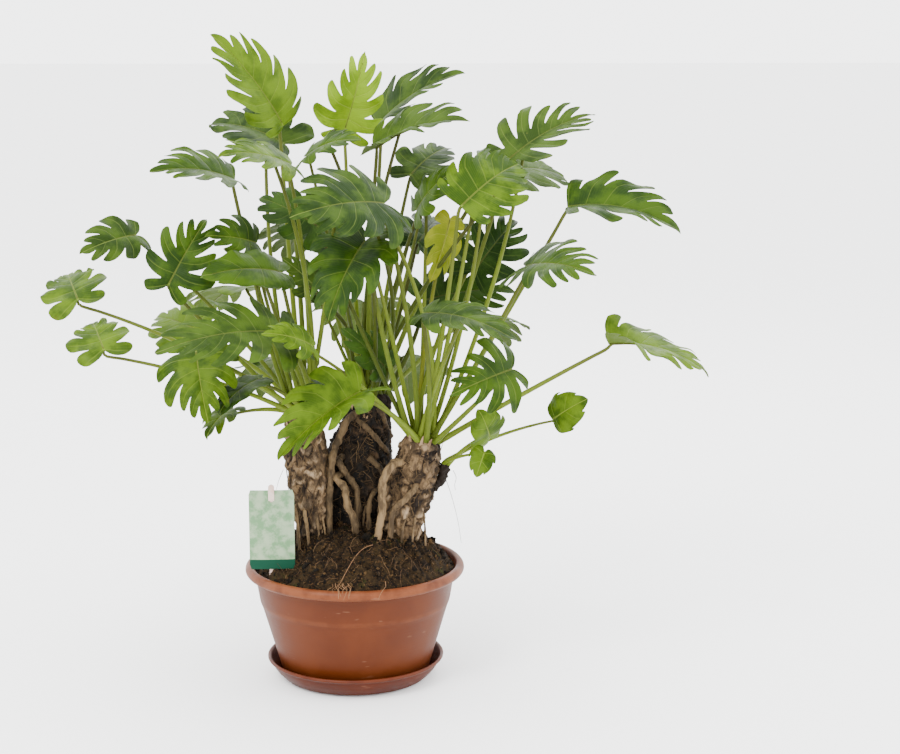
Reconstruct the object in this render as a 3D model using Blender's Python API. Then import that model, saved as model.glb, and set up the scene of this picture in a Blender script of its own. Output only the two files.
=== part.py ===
"""A potted philodendron: three stubby trunks with lobed leaves, in a bowl pot on a saucer.

World frame: metres, +Z up, +X to the right and -Y towards someone in front of the plant.
The origin is the middle of the saucer's underside.
"""
import math
from dataclasses import dataclass

import bmesh
import bpy
import numpy as np
from mathutils import Vector
from mathutils.geometry import delaunay_2d_cdt

MM = 0.001
CM = 0.01

# The gap kept between pieces that touch, and the wider one round rough or few-sided pieces.
SEAT_GAP = 0.3 * MM
HOLE_GAP = 0.45 * MM
ROUGH_GAP = 0.7 * MM

# Where the plant is looked at from. Places on it are given as they appear from there:
# how far across and up in the plane through the pot's middle, and how far behind that plane.
VIEW_DISTANCE = 2.5
VIEW_HEIGHT = 0.886

# Pot and saucer, turned about +Z.
TURNED_SIDES = 28
SAUCER_FLOOR = 2.6 * MM
POT_FOOT = SAUCER_FLOOR + SEAT_GAP
POT_TOP = 160 * MM
POT_RIM_RADIUS = 150 * MM
POT_WALL = 2.5 * MM
DRAIN_RADIUS = 5 * MM
DRAIN_CIRCLE = 55 * MM
DRAINS = 4
DRAIN_SIDES = 8
DRAIN_CUT = (-2 * MM, 15 * MM)
SHARP_ANGLE = math.radians(40)

# Soil: the heap stands well above the pot's edge.
SOIL_EDGE_RADIUS = 136.1 * MM
SOIL_EDGE_HEIGHT = 152 * MM
SOIL_HEAP = 60 * MM
SOIL_STEEPNESS = 3.0
SOIL_CLOD = 2.1 * MM
SOIL_WAVES = (210.0, 190.0, 390.0, -260.0)
SOIL_RINGS = 7
SOIL_RING_CROWDING = 0.75
SOIL_ROOT_END = 18.0

# Trunks: sides round them, and the raised leaf scars that run up them in a spiral.
TRUNK_SIDES = 12
TRUNK_RINGS = 16
ROOT_SIDES = 6
HOLE_RINGS = 3
SCAR_TURN = math.radians(137.5)
SCAR_STEP = 9 * MM
SCAR_START = 75 * MM
SCAR_REACH = (11 * MM, 9 * MM)
SCAR_STEEPNESS = 1.6
SCAR_HEIGHT = 3.0 * MM

# Tag: the middle of the card's foot, the card and the stake behind it (across, through, up).
TAG_PLACE = (-110 * MM, 170 * MM, -66 * MM)
TAG_DENT = 0.72
TAG_DENT_REACH = 45 * MM
TAG_SIZE = (60 * MM, 108 * MM)
TAG_THICKNESS = 0.8 * MM
STAKE_SIZE = (8 * MM, 1.5 * MM, 145 * MM)
STAKE_RISE = 8 * MM
SLAB_CORNER = 1.5 * MM

# Leaf stalks: their radius where they leave the trunk, half-way and at the blade.
STALK_SIDES = 5
STALK_RADII = (3.8 * MM, 3.4 * MM, 2.3 * MM)
STALK_DEPTH = 10 * MM
STALK_RINGS = 5
STALK_TURNS = np.radians([144.0, 72.0, 0.0, -72.0, -144.0])
STALK_BEND = 9 * MM
STALK_LEAVE = (0.8, 0.3, 0.25)
COLLAR_DROP = 2.6 * MM
FULL_BLADE = 13 * CM

# Crowns: how many stalks stand in each ring and the ring's radius, and the gap kept between them.
CROWN_RINGS = ((1, 0.0), (6, 8.8 * MM), (11, 16.8 * MM))
OFFSHOOT_RINGS = ((3, 3.6 * MM),)
OFFSHOOT_AHEAD = (0.45, -0.35, 0.8)
CROWN_REACH = 16 * MM
SLOT_SPACING = 8.8 * MM
SLOT_RISE = 2.5 * MM
SOCKET_RISE = 4 * MM

# Blades: thickness, how far along the midrib the side veins start, and the reach (in blade
# lengths) and direction (in degrees from the midrib) of the fingers, each for a share of the
# way from the base of the blade to its tip.
BLADE_THICKNESS = 0.8 * MM
VEIN_START = 0.08
VEIN_END = 0.73
FINGER_REACH = ((0.0, 0.12, 0.3, 0.5, 0.7, 0.85, 1.0), (0.22, 0.35, 0.47, 0.46, 0.40, 0.32, 0.27))
FINGER_WAY = ((0.0, 0.1, 0.28, 0.46, 0.64, 0.82, 0.92, 1.0), (150, 126, 96, 72, 53, 40, 26, 0))
FINGER_CURL = math.radians(20)
FINGER_SIDES = (0.24, 0.76, 1.0)
FINGER_STAND = 0.96
RIBS = 5
INSIDE_ONLY = 1
PLAN_PRECISION = 0.001 * MM

# The blade rises and falls a little towards its edge, and where it is cupped that ends here.
CUP_END = 0.35
WAVE_HEIGHT = 0.05
WAVE_TURNS = 17.0
WAVE_SHIFT = 1.3


@dataclass(frozen=True)
class Leaf:
    """One leaf: where its stalk meets the blade, where the blade ends, and how it hangs.

    joint and tip are (across, up, back) in centimetres as seen from the front, face is the
    way the upper side looks, and fingers counts the lobes of each half.
    """

    name: str
    crown: str
    joint: tuple
    tip: tuple
    face: tuple = (0.0, -0.8, 0.6)
    tone: str = "mid"
    fingers: int = 6
    cut: float = 0.55
    width: float = 1.0
    arch: float = 40.0
    fold: float = 8.0
    droop: float = 0.35
    base: float = 1.0
    cup: float = 0.0
    bow: tuple = (0.0, 0.0, 0.0)


@dataclass(frozen=True)
class Trunk:
    """One trunk: its middle line from deep in the soil to the crown, with a radius at each point."""

    name: str
    line: tuple
    radii: tuple
    tone: str
    roots: tuple = ()


TONES = {
    "mid": (0.110, 0.225, 0.030),
    "fresh": (0.190, 0.320, 0.055),
    "young": (0.380, 0.520, 0.120),
    "dark": (0.045, 0.110, 0.018),
    "grey": (0.185, 0.290, 0.095),
    "old": (0.480, 0.470, 0.090),
}

TRUNKS = (
    Trunk(
        "trunk_left",
        ((-5.6, 15.5, -1.0), (-5.7, 18.5, -1.0), (-5.9, 22.0, -0.8), (-6.0, 27.0, -0.4), (-6.5, 32.5, 0.0),
         (-6.9, 37.0, 0.0)),
        (1.4, 1.6, 1.9, 2.7, 2.5, 2.2),
        "bark",
        roots=(
            (((-7.2, 25.0, -1.5), (-8.0, 23.6, -2.6), (-7.8, 21.4, -3.1), (-7.5, 17.0, -3.4)), 4.5),
            (((-6.6, 24.5, -1.5), (-6.8, 23.0, -3.0), (-6.5, 21.0, -3.4), (-6.1, 17.0, -3.7)), 4.5),
        ),
    ),
    Trunk(
        "trunk_middle",
        ((0.3, 15.5, 4.2), (0.3, 18.5, 4.2), (0.2, 24.0, 4.2), (0.5, 29.0, 4.2), (1.6, 34.5, 4.2),
         (2.5, 39.0, 4.2)),
        (4.3, 4.6, 4.9, 4.6, 3.3, 2.4),
        "dark_bark",
        roots=(
            (((1.2, 37.0, 3.2), (-0.6, 36.0, 0.4), (-2.1, 33.0, -0.8), (-2.9, 30.6, -1.6),
              (-3.2, 27.4, -2.1), (-3.4, 24.5, -2.3), (-3.5, 17.0, -2.6)), 9.0),
            (((-0.6, 31.0, 2.4), (-2.0, 30.2, -0.8), (-1.0, 28.2, -1.4), (0.1, 26.6, -1.6),
              (0.4, 24.5, -1.7), (0.2, 17.0, -1.9)), 8.0),
            (((-1.2, 28.6, 1.6), (-2.4, 27.8, -1.8), (-1.3, 26.2, -2.6), (-0.9, 23.7, -3.1),
              (0.0, 21.4, -3.6), (0.4, 17.0, -4.0)), 9.5),
            (((2.6, 26.5, 1.8), (2.7, 25.6, -1.2), (2.0, 23.8, -1.9), (1.9, 17.0, -2.6)), 6.5),
        ),
    ),
    Trunk(
        "trunk_right",
        ((6.0, 15.5, -1.5), (6.2, 18.5, -1.5), (6.7, 22.5, -1.3), (7.9, 27.0, -1.0), (9.3, 32.5, -1.0)),
        (2.0, 2.3, 2.6, 3.0, 2.5),
        "bark",
        roots=(
            (((7.5, 29.8, -1.8), (5.4, 29.6, -3.6), (4.1, 27.6, -4.4), (3.7, 25.3, -4.7), (3.8, 23.0, -5.0),
              (3.3, 20.5, -5.2), (2.9, 17.0, -5.4)), 10.5),
            (((8.2, 27.2, -2.0), (8.2, 26.2, -4.3), (6.9, 24.6, -4.6), (5.4, 23.2, -4.7), (4.9, 21.0, -4.8),
              (5.0, 17.0, -4.9)), 8.0),
            (((9.0, 26.2, -1.0), (11.2, 26.7, -1.2), (12.0, 28.1, -1.2), (12.4, 29.5, -1.2)), 13.0),
        ),
    ),
)

LEAVES = (
    Leaf("leaf_top_left", "left", (-8.8, 75.3, 3), (-18.0, 87.3, 1), (0.9, -1.0, 0.5), "fresh", 7,
         arch=30, fold=16, base=0.6),
    Leaf("leaf_top_young", "middle", (-0.8, 74.8, 8), (2.0, 85.0, 5), (0.2, -1.0, 0.25), "young", 6,
         cut=0.6, fold=20),
    Leaf("leaf_top_behind", "middle", (3.6, 75.5, 16), (15.0, 82.3, 14), (-0.3, -0.4, 0.9), "grey", 6,
         fold=22, base=0.65),
    Leaf("leaf_top_centre", "middle", (3.0, 72.3, 1), (15.7, 76.0, -5), (0.0, -0.4, 0.9), "grey", 6,
         fold=24, base=0.65),
    Leaf("leaf_upper_left_back", "left", (-8.7, 73.0, 10), (-18.5, 75.5, 18), (0.0, -0.5, 0.85), "grey",
         5, fold=24),
    Leaf("leaf_upper_left", "left", (-15.3, 68.3, -3), (-26.4, 69.4, -9), (0.0, -0.5, 0.85), "mid", 6,
         fold=18, base=0.7, bow=(0.0, 3.0, 0.0)),
    Leaf("leaf_upper_inner", "left", (-7.8, 70.2, -10), (-17.5, 71.6, -16), (0.0, -0.5, 0.85), "fresh", 6,
         base=0.8),
    Leaf("leaf_upper_centre", "middle", (-5.9, 71.4, -2), (1.2, 73.6, -7), (0.1, -0.55, 0.8), "mid", 5),
    Leaf("leaf_front_centre", "right", (4.4, 65.1, -14), (-8.2, 63.3, -22), (-0.1, -0.8, 0.6), "grey", 7,
         cut=0.5, width=1.1, bow=(2.0, 0.0, 0.0)),
    Leaf("leaf_centre_hanging", "right", (1.8, 60.2, -13.4), (-3.4, 49.3, -20), (-0.4, -0.9, 0.4), "mid",
         6, cut=0.42, width=1.1, fold=16),
    Leaf("leaf_upper_right_front", "right", (14.5, 64.6, -9), (22.5, 70.2, 0), (-0.1, -1.0, 0.5), "fresh",
         7, cut=0.42, arch=60, base=0.65),
    Leaf("leaf_upper_right", "right", (20.8, 70.8, 3), (32.3, 76.8, 8), (-0.4, -0.6, 0.6), "grey", 7,
         cut=0.75, fold=20, base=0.8),
    Leaf("leaf_upper_right_back", "middle", (18.5, 69.0, 9), (28.5, 68.3, 18), (0.1, -0.5, 0.9), "grey",
         6, bow=(-1.0, 2.5, 4.0)),
    Leaf("leaf_far_right", "right", (28.7, 64.5, 0), (44.2, 60.9, -1), (0.0, -0.42, 0.9), "mid", 6,
         arch=55, fold=25, base=0.6),
    Leaf("leaf_right", "right", (23.1, 56.6, -4), (32.8, 55.3, -14), (0.1, -0.8, 0.7), "mid", 7,
         cut=0.65),
    Leaf("leaf_right_back", "right", (16.4, 56.0, 4.0), (22.0, 63.0, 12), (0.0, -0.9, 0.5), "dark", 6,
         cut=0.65),
    Leaf("leaf_low_far_right", "right", (34.5, 46.0, -4), (48.5, 41.5, -5), (0.0, -0.17, 1.0), "fresh", 6,
         arch=50, fold=10, base=0.65, cup=40),
    Leaf("leaf_offshoot_right", "offshoot", (27.0, 35.5, -3), (31.8, 38.4, -6), (-0.3, -1.0, 0.4),
         "fresh", 3, cut=0.18, width=1.1, base=0.6),
    Leaf("leaf_offshoot_upper", "offshoot", (18.5, 33.0, -4), (17.0, 37.0, -7), (0.2, -1.0, 0.3), "fresh",
         3, cut=0.25, width=1.2, bow=(0.0, 0.0, 0.8)),
    Leaf("leaf_offshoot_lower", "offshoot", (17.8, 31.2, -8), (16.6, 27.6, -10), (0.0, -1.0, 0.4),
         "fresh", 3, cut=0.2, width=1.1),
    Leaf("leaf_low_right_star", "right", (21.5, 42.6, -12), (12.9, 39.0, -17), (0.0, -1.0, 0.35), "mid",
         6, cut=0.7, width=1.15),
    Leaf("leaf_low_right_pale", "right", (9.5, 50.4, -14), (22.3, 46.3, -20), (0.1, -0.35, 0.95), "grey",
         6, width=0.8, base=0.8),
    Leaf("leaf_old", "right", (13.1, 63.1, -2), (10.4, 54.4, -5), (0.3, -1.0, 0.3), "old", 4, width=0.6,
         bow=(0.0, 2.0, 0.0)),
    Leaf("leaf_far_left_upper", "left", (-28.4, 61.1, 2), (-36.0, 58.6, -3), (-0.3, -1.0, 0.4), "grey",
         5),
    Leaf("leaf_left_spiky", "left", (-24.4, 54.4, -3), (-19.0, 63.4, 2), (0.0, -1.0, 0.3), "mid", 6,
         cut=0.68),
    Leaf("leaf_left_inner", "left", (-12.6, 59.9, -3), (-19.4, 60.9, -8), (0.0, -0.9, 0.5), "mid", 5,
         fold=16, base=0.8),
    Leaf("leaf_left_smooth", "left", (-9.3, 56.0, -8), (-20.2, 55.4, -13), (0.0, -0.6, 0.8), "mid", 4,
         cut=0.12, width=0.75, bow=(0.0, 2.5, 0.0)),
    Leaf("leaf_far_left", "left", (-36.4, 52.5, -2), (-37.6, 56.0, 7), (-0.2, -0.6, 0.9), "fresh", 5,
         width=1.15),
    Leaf("leaf_far_left_lower", "left", (-33.2, 45.7, -10), (-34.6, 49.5, -2), (-0.1, -0.6, 0.9), "fresh",
         5, width=1.15),
    Leaf("leaf_left_back", "left", (-19.7, 47.6, 6), (-26.3, 50.0, 15), (0.0, -0.8, 0.7), "fresh", 5),
    Leaf("leaf_left_hanging", "left", (-21.0, 45.6, -8), (-19.6, 35.6, -14), (-0.1, -1.0, 0.4), "fresh",
         6, width=1.25),
    Leaf("leaf_left_large", "left", (-9.0, 47.8, -14), (-26.5, 45.2, -22), (0.0, -0.6, 0.8), "grey", 7,
         cut=0.68, width=0.9),
    Leaf("leaf_left_low", "left", (-16.2, 37.6, -3), (-20.0, 33.5, -9), (-0.5, -0.8, 0.4), "fresh", 4,
         width=0.8),
    Leaf("leaf_left_folded", "left", (-12.3, 41.7, -7), (-18.3, 36.9, -13), (-0.4, -0.6, 0.7), "mid", 4,
         cut=0.08, width=0.6),
    Leaf("leaf_front_low", "right", (0.9, 39.7, -13), (-10.3, 30.3, -20), (-0.42, -0.77, 0.48), "fresh",
         6, fold=36, base=0.9),
    Leaf("leaf_small_low", "left", (-3.8, 40.3, -8), (-7.4, 37.6, -12), (-0.2, -0.9, 0.4), "mid", 4,
         width=0.9),
    Leaf("leaf_inner_left", "middle", (-4.6, 53.6, 1), (-9.3, 57.9, 0), (0.0, -0.9, 0.5), "grey", 5),
    Leaf("leaf_inner_top", "middle", (-0.9, 59.6, 2), (-6.0, 63.3, 9), (0.0, -0.9, 0.5), "dark", 5),
    Leaf("leaf_inner_low", "middle", (4.3, 43.0, -1.5), (-1.5, 48.5, -3), (0.2, -0.9, 0.4), "dark", 4,
         width=0.8),
    Leaf("leaf_inner_right_top", "middle", (7.8, 68.8, 4), (13.0, 72.4, 13), (0.1, -0.5, 0.9), "grey", 5,
         width=0.85, bow=(-1.0, 0.0, 0.0)),
    Leaf("leaf_inner_right", "middle", (8.8, 59.8, 8), (11.6, 63.0, 17), (0.0, -0.9, 0.5), "dark", 5),
    Leaf("leaf_right_inner_dark", "middle", (9.7, 52.1, 10), (22.1, 53.4, 11), (0.0, -0.8, 0.7), "dark",
         6, cut=0.65),
    Leaf("leaf_inner_left_top", "right", (-4.4, 62.0, -5.0), (-12.4, 66.0, -1), (0.0, -0.8, 0.6), "dark",
         5, bow=(0.0, -6.5, 0.0)),
    Leaf("leaf_inner_right_middle", "middle", (8.6, 64.2, 0), (14.0, 69.6, -3), (0.0, -0.6, 0.8), "mid",
         5),
    Leaf("leaf_low_centre", "right", (-5.4, 46.0, -17), (-12.2, 47.8, -21), (0.0, -0.7, 0.7), "fresh", 5,
         width=0.8, bow=(0.0, 1.5, 0.0)),
    Leaf("leaf_back_upper_left", "middle", (-5.0, 62.0, 19), (-9.0, 57.5, 33), (-0.1, 0.5, 0.9), "mid",
         6),
    Leaf("leaf_back_upper_right", "middle", (8.0, 62.0, 22), (13.0, 56.0, 36), (0.1, 0.5, 0.9), "mid", 6),
    Leaf("leaf_back_left", "left", (-14.0, 54.0, 17), (-20.0, 50.0, 30), (-0.3, 0.5, 0.8), "fresh", 6),
    Leaf("leaf_back_right", "middle", (15.0, 50.0, 20), (21.0, 45.5, 33), (0.3, 0.5, 0.8), "mid", 6),
    Leaf("leaf_back_middle", "middle", (1.5, 52.0, 24), (1.0, 44.5, 38), (0.0, 0.6, 0.8), "fresh", 6),
    Leaf("leaf_back_low_left", "left", (-9.0, 44.5, 16), (-12.5, 39.0, 28), (-0.3, 0.7, 0.7), "mid", 5),
    Leaf("leaf_back_low_right", "middle", (6.5, 44.5, 19), (7.5, 38.0, 31), (0.2, 0.7, 0.7), "mid", 5),
)


def sighted(across, up, back):
    """A point from where it is seen from the front, in centimetres."""
    eye = np.array([0.0, -VIEW_DISTANCE, VIEW_HEIGHT])
    seen = np.array([across * CM, 0.0, up * CM])
    return eye + (seen - eye) * (VIEW_DISTANCE + back * CM) / VIEW_DISTANCE


def unit(vector):
    """The vector at length 1."""
    return vector / np.linalg.norm(vector)


def clear_scene():
    """Remove every object, so that the script can run again in the same file."""
    for item in list(bpy.data.objects):
        bpy.data.objects.remove(item, do_unlink=True)


def finish(name, colour, roughness):
    """A plain coloured material."""
    material = bpy.data.materials.new(name)
    material.use_nodes = True
    shader = material.node_tree.nodes["Principled BSDF"]
    shader.inputs["Base Color"].default_value = (*colour, 1.0)
    shader.inputs["Roughness"].default_value = roughness
    shader.inputs["Metallic"].default_value = 0.0
    return material


def add_object(name, points, faces, material=None):
    """A named object from points and faces, with its faces turned outwards."""
    mesh = bpy.data.meshes.new(name)
    mesh.from_pydata([tuple(point) for point in points], [], faces)
    shell = bmesh.new()
    shell.from_mesh(mesh)
    bmesh.ops.recalc_face_normals(shell, faces=shell.faces)
    if shell.calc_volume(signed=True) < 0:
        bmesh.ops.reverse_faces(shell, faces=shell.faces)
    shell.to_mesh(mesh)
    shell.free()
    body = bpy.data.objects.new(name, mesh)
    bpy.context.scene.collection.objects.link(body)
    if material:
        mesh.materials.append(material)
    return body


def smooth(body):
    """Shade a body smooth, with its sharp edges kept."""
    body.data.shade_smooth()
    body.data.set_sharp_from_angle(angle=SHARP_ANGLE)


def combine(body, others, operation):
    """Join bodies to one, or cut them out of it, and remove them."""
    group = bpy.data.collections.new(body.name + "_others")
    bpy.context.scene.collection.children.link(group)
    for other in others:
        group.objects.link(other)
    step = body.modifiers.new(operation.lower(), "BOOLEAN")
    step.operation = operation
    step.operand_type = "COLLECTION"
    step.collection = group
    view = bpy.context.evaluated_depsgraph_get()
    result = bpy.data.meshes.new_from_object(body.evaluated_get(view))
    body.modifiers.clear()
    body.data = result
    for other in others:
        bpy.data.objects.remove(other, do_unlink=True)
    bpy.data.collections.remove(group)


def turned_body(name, profile, material):
    """A body turned about +Z from a profile that starts and ends on the axis."""
    shell = bmesh.new()
    line = [shell.verts.new((radius * MM, 0.0, height * MM)) for radius, height in profile]
    edges = [shell.edges.new(pair) for pair in zip(line, line[1:])]
    bmesh.ops.spin(
        shell, geom=line + edges, cent=(0, 0, 0), axis=(0, 0, 1), angle=math.tau, steps=TURNED_SIDES
    )
    bmesh.ops.remove_doubles(shell, verts=shell.verts, dist=0.01 * MM)
    bmesh.ops.recalc_face_normals(shell, faces=shell.faces)
    mesh = bpy.data.meshes.new(name)
    shell.to_mesh(mesh)
    shell.free()
    body = bpy.data.objects.new(name, mesh)
    bpy.context.scene.collection.objects.link(body)
    mesh.materials.append(material)
    smooth(body)
    return body


def rod(name, centre, radius, low, high, sides):
    """An upright cylinder, for cutting a hole."""
    shell = bmesh.new()
    bmesh.ops.create_cone(
        shell, cap_ends=True, segments=sides, radius1=radius, radius2=radius, depth=high - low
    )
    mesh = bpy.data.meshes.new(name)
    shell.to_mesh(mesh)
    shell.free()
    body = bpy.data.objects.new(name, mesh)
    body.location = (centre[0], centre[1], (low + high) / 2)
    bpy.context.scene.collection.objects.link(body)
    return body


def make_saucer(clay):
    """The saucer, flat underneath, with a flared wall and a rounded rim."""
    floor = SAUCER_FLOOR / MM
    profile = (
        (0, 0), (98, 0), (101, 1.5), (105, 7), (117, 25.5), (120.5, 27), (121, 29), (119.5, 30.5),
        (116.5, 29.5), (104, 8), (101.5, floor + 0.6), (99.5, floor), (0, floor),
    )
    return turned_body("saucer", profile, clay)


def make_pot(clay):
    """The bowl pot: a tapered wall, a band, a neck and a rolled lip, with drain holes in its floor."""
    foot = POT_FOOT / MM
    top = POT_TOP / MM
    rim = POT_RIM_RADIUS / MM
    profile = (
        (0, foot + 3.5), (88, foot + 3.5), (90, foot), (97, foot), (99, foot + 2), (126.5, 104),
        (130.5, 107), (135.5, 140), (137.5, 145), (rim - 3, 146), (rim, 150), (rim - 0.5, 155),
        (rim - 4.5, top), (rim - 10, top), (137.5, 154), (133, 140), (128, 108), (123.8, 103.5),
        (96.5, foot + 6.5), (0, foot + 6.5),
    )
    body = turned_body("pot", profile, clay)
    holes = []
    for index in range(DRAINS):
        turn = math.tau * (index + 0.5) / DRAINS
        centre = (DRAIN_CIRCLE * math.cos(turn), DRAIN_CIRCLE * math.sin(turn))
        holes.append(rod(f"drain_{index}", centre, DRAIN_RADIUS, *DRAIN_CUT, DRAIN_SIDES))
    combine(body, holes, "DIFFERENCE")
    smooth(body)
    return body


def soil_height(radius, turn):
    """The soil's height above the ground: a heap that falls steeply to the pot's edge, with clods."""
    share = np.minimum(radius / SOIL_EDGE_RADIUS, 1.0)
    heap = SOIL_HEAP * (1.0 - share ** SOIL_STEEPNESS)
    across = radius * np.cos(turn)
    back = radius * np.sin(turn)
    first, second, third, fourth = SOIL_WAVES
    coarse = np.sin(across * first + 1.3) * np.cos(back * second + 0.4)
    clods = coarse + 0.6 * np.sin(across * third + back * fourth + 2.1)
    middle, _, front = TAG_PLACE
    dent = TAG_DENT * np.exp(-((across - middle) ** 2 + (back - front) ** 2) / TAG_DENT_REACH ** 2)
    rough = SOIL_CLOD * clods * np.minimum(1.0, 5.0 * (1.0 - share))
    return SOIL_EDGE_HEIGHT + heap * (1.0 - dent) + rough


def make_soil(earth, cutters):
    """The soil, close to the pot's wall all round, with plain holes for what stands in it."""
    foot = POT_FOOT / MM
    gap = HOLE_GAP / MM
    sides = ((96.5 - 2 * gap, foot + 6.5 + gap), (123.8 - gap, 103.5 + gap), (128 - gap, 108 + gap),
             (133 - gap, 140), (SOIL_EDGE_RADIUS / MM, SOIL_EDGE_HEIGHT / MM))
    rings = [(radius * MM, height * MM) for radius, height in sides]
    turns = np.arange(TURNED_SIDES) * math.tau / TURNED_SIDES
    points = [np.array([0.0, 0.0, rings[0][1]])]
    for radius, height in rings:
        points += [np.array([radius * math.cos(turn), radius * math.sin(turn), height]) for turn in turns]
    for share in np.linspace(1.0, 0.0, SOIL_RINGS + 1)[1:-1]:
        radius = SOIL_EDGE_RADIUS * share ** SOIL_RING_CROWDING
        points += [
            np.array([radius * math.cos(turn), radius * math.sin(turn), float(soil_height(radius, turn))])
            for turn in turns
        ]
    points.append(np.array([0.0, 0.0, float(soil_height(0.0, 0.0))]))
    count = (len(points) - 2) // TURNED_SIDES
    faces = loft_faces(count, TURNED_SIDES, first=1)
    last = len(points) - 1
    for side in range(TURNED_SIDES):
        following = (side + 1) % TURNED_SIDES
        faces.append((0, 1 + following, 1 + side))
        top = 1 + (count - 1) * TURNED_SIDES
        faces.append((last, top + side, top + following))
    body = add_object("soil", points, faces, earth)
    combine(body, cutters, "DIFFERENCE")
    return body


def loft_faces(rings, sides, first=0):
    """Triangles between rings of points that follow each other."""
    faces = []
    for ring in range(rings - 1):
        for side in range(sides):
            following = (side + 1) % sides
            low = first + ring * sides
            high = low + sides
            faces.append((low + side, low + following, high + following))
            faces.append((low + side, high + following, high + side))
    return faces


def smooth_line(points, count):
    """Points evenly spread in parameter on a smooth curve through the given points."""
    points = np.asarray(points, float)
    padded = np.vstack([2 * points[0] - points[1], points, 2 * points[-1] - points[-2]])
    places = np.linspace(0.0, len(points) - 1.0, count)
    span = np.minimum(places.astype(int), len(points) - 2)
    share = (places - span)[:, None]
    before, start, end, after = (padded[span + step] for step in range(4))
    return 0.5 * (
        2 * start
        + (end - before) * share
        + (2 * before - 5 * start + 4 * end - after) * share ** 2
        + (3 * start - before - 3 * end + after) * share ** 3
    )


def frames(line, first=(0.31, 0.89, 0.33)):
    """Two directions square to a line at each point, carried along it without twist."""
    ahead = np.gradient(line, axis=0)
    ahead /= np.linalg.norm(ahead, axis=1)[:, None]
    side = np.array(first)
    sides = []
    for direction in ahead:
        side = unit(side - direction * np.dot(side, direction))
        sides.append(side)
    sides = np.array(sides)
    return sides, np.cross(ahead, sides)


def ring_ways(across, other, turns):
    """For each point of a line, the directions out from it at the given turns."""
    turns = turns[None, :, None]
    return np.cos(turns) * across[:, None, :] + np.sin(turns) * other[:, None, :]


def tube(name, line, radii, sides, last_rings=0):
    """A closed tube along a line, with its own radius at each point; last_rings keeps only its end."""
    across, other = frames(line)
    line, across, other, radii = (items[-last_rings:] for items in (line, across, other, radii))
    turns = np.arange(sides) * math.tau / sides
    points = line[:, None, :] + ring_ways(across, other, turns) * np.asarray(radii)[:, None, None]
    faces = loft_faces(len(line), sides)
    last = (len(line) - 1) * sides
    faces.append(tuple(range(sides)))
    faces.append(tuple(last + side for side in range(sides)))
    return add_object(name, points.reshape(-1, 3), faces)


def trunk_tube(trunk, extra, material=None):
    """A trunk, rough with leaf scars above the soil, with a domed crown; extra makes it thicker."""
    count = TRUNK_RINGS
    line = smooth_line([sighted(*place) for place in trunk.line], count)
    line[0, 2] -= extra
    radii = np.interp(np.linspace(0, 1, count), np.linspace(0, 1, len(trunk.radii)), trunk.radii) * CM
    across, other = frames(line)
    turns = np.arange(TRUNK_SIDES) * math.tau / TRUNK_SIDES
    height = np.concatenate([[0.0], np.cumsum(np.linalg.norm(np.diff(line, axis=0), axis=1))])
    relief = scar_relief(height[:, None], turns[None, :], radii[:, None], height[-1])
    reach = radii[:, None] + relief + extra
    points = (line[:, None, :] + ring_ways(across, other, turns) * reach[:, :, None]).reshape(-1, 3)
    faces = loft_faces(count, TRUNK_SIDES)
    faces.append(tuple(range(TRUNK_SIDES)))
    faces.append(tuple((count - 1) * TRUNK_SIDES + side for side in range(TRUNK_SIDES)))
    return add_object(trunk.name, points, faces, material)


def scar_relief(height, turn, radius, length):
    """How far a trunk's skin stands out: a spiral of rounded scars above the soil."""
    relief = np.zeros(np.broadcast(height, turn).shape)
    for index in range(int((length - SCAR_START) / SCAR_STEP)):
        middle = SCAR_START + index * SCAR_STEP
        apart = np.angle(np.exp(1j * (turn - index * SCAR_TURN))) * radius
        reach = (apart / SCAR_REACH[0]) ** 2 + ((height - middle) / SCAR_REACH[1]) ** 2
        relief = np.maximum(relief, np.exp(-reach * SCAR_STEEPNESS))
    return SCAR_HEIGHT * relief


def root_line(places):
    """The middle line of an aerial root."""
    points = [sighted(*place) for place in places]
    return smooth_line(points, 2 * len(points) + 1)


def root_tube(name, places, width, extra):
    """An aerial root, a little thinner towards its end."""
    line = root_line(places)
    line[-1] += unit(line[-1] - line[-2]) * extra
    radii = np.linspace(1.0, 0.85, len(line)) * width / 2 * MM + extra
    return tube(name, line, radii, ROOT_SIDES, last_rings=HOLE_RINGS if extra else 0)


def crown_frame(crown):
    """The middle of a crown's top and the way it points."""
    if crown == "offshoot":
        places = TRUNKS[2].roots[2][0]
        return sighted(*places[-1]), unit(np.array(OFFSHOOT_AHEAD))
    trunk = next(item for item in TRUNKS if item.name == "trunk_" + crown)
    line = smooth_line([sighted(*place) for place in trunk.line], TRUNK_RINGS)
    return line[-1], unit(line[-1] - line[-2])


def spread(turns, least):
    """Angles pushed apart until neighbours on the circle are at least the given angle apart."""
    turns = np.array(turns, float)
    for _ in range(400):
        order = np.argsort(turns)
        ahead = np.roll(order, -1)
        gaps = (turns[ahead] - turns[order]) % math.tau
        push = np.maximum(0.0, least - gaps) * 0.5
        turns[ahead] += push
        turns[order] -= push
    return turns


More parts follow.
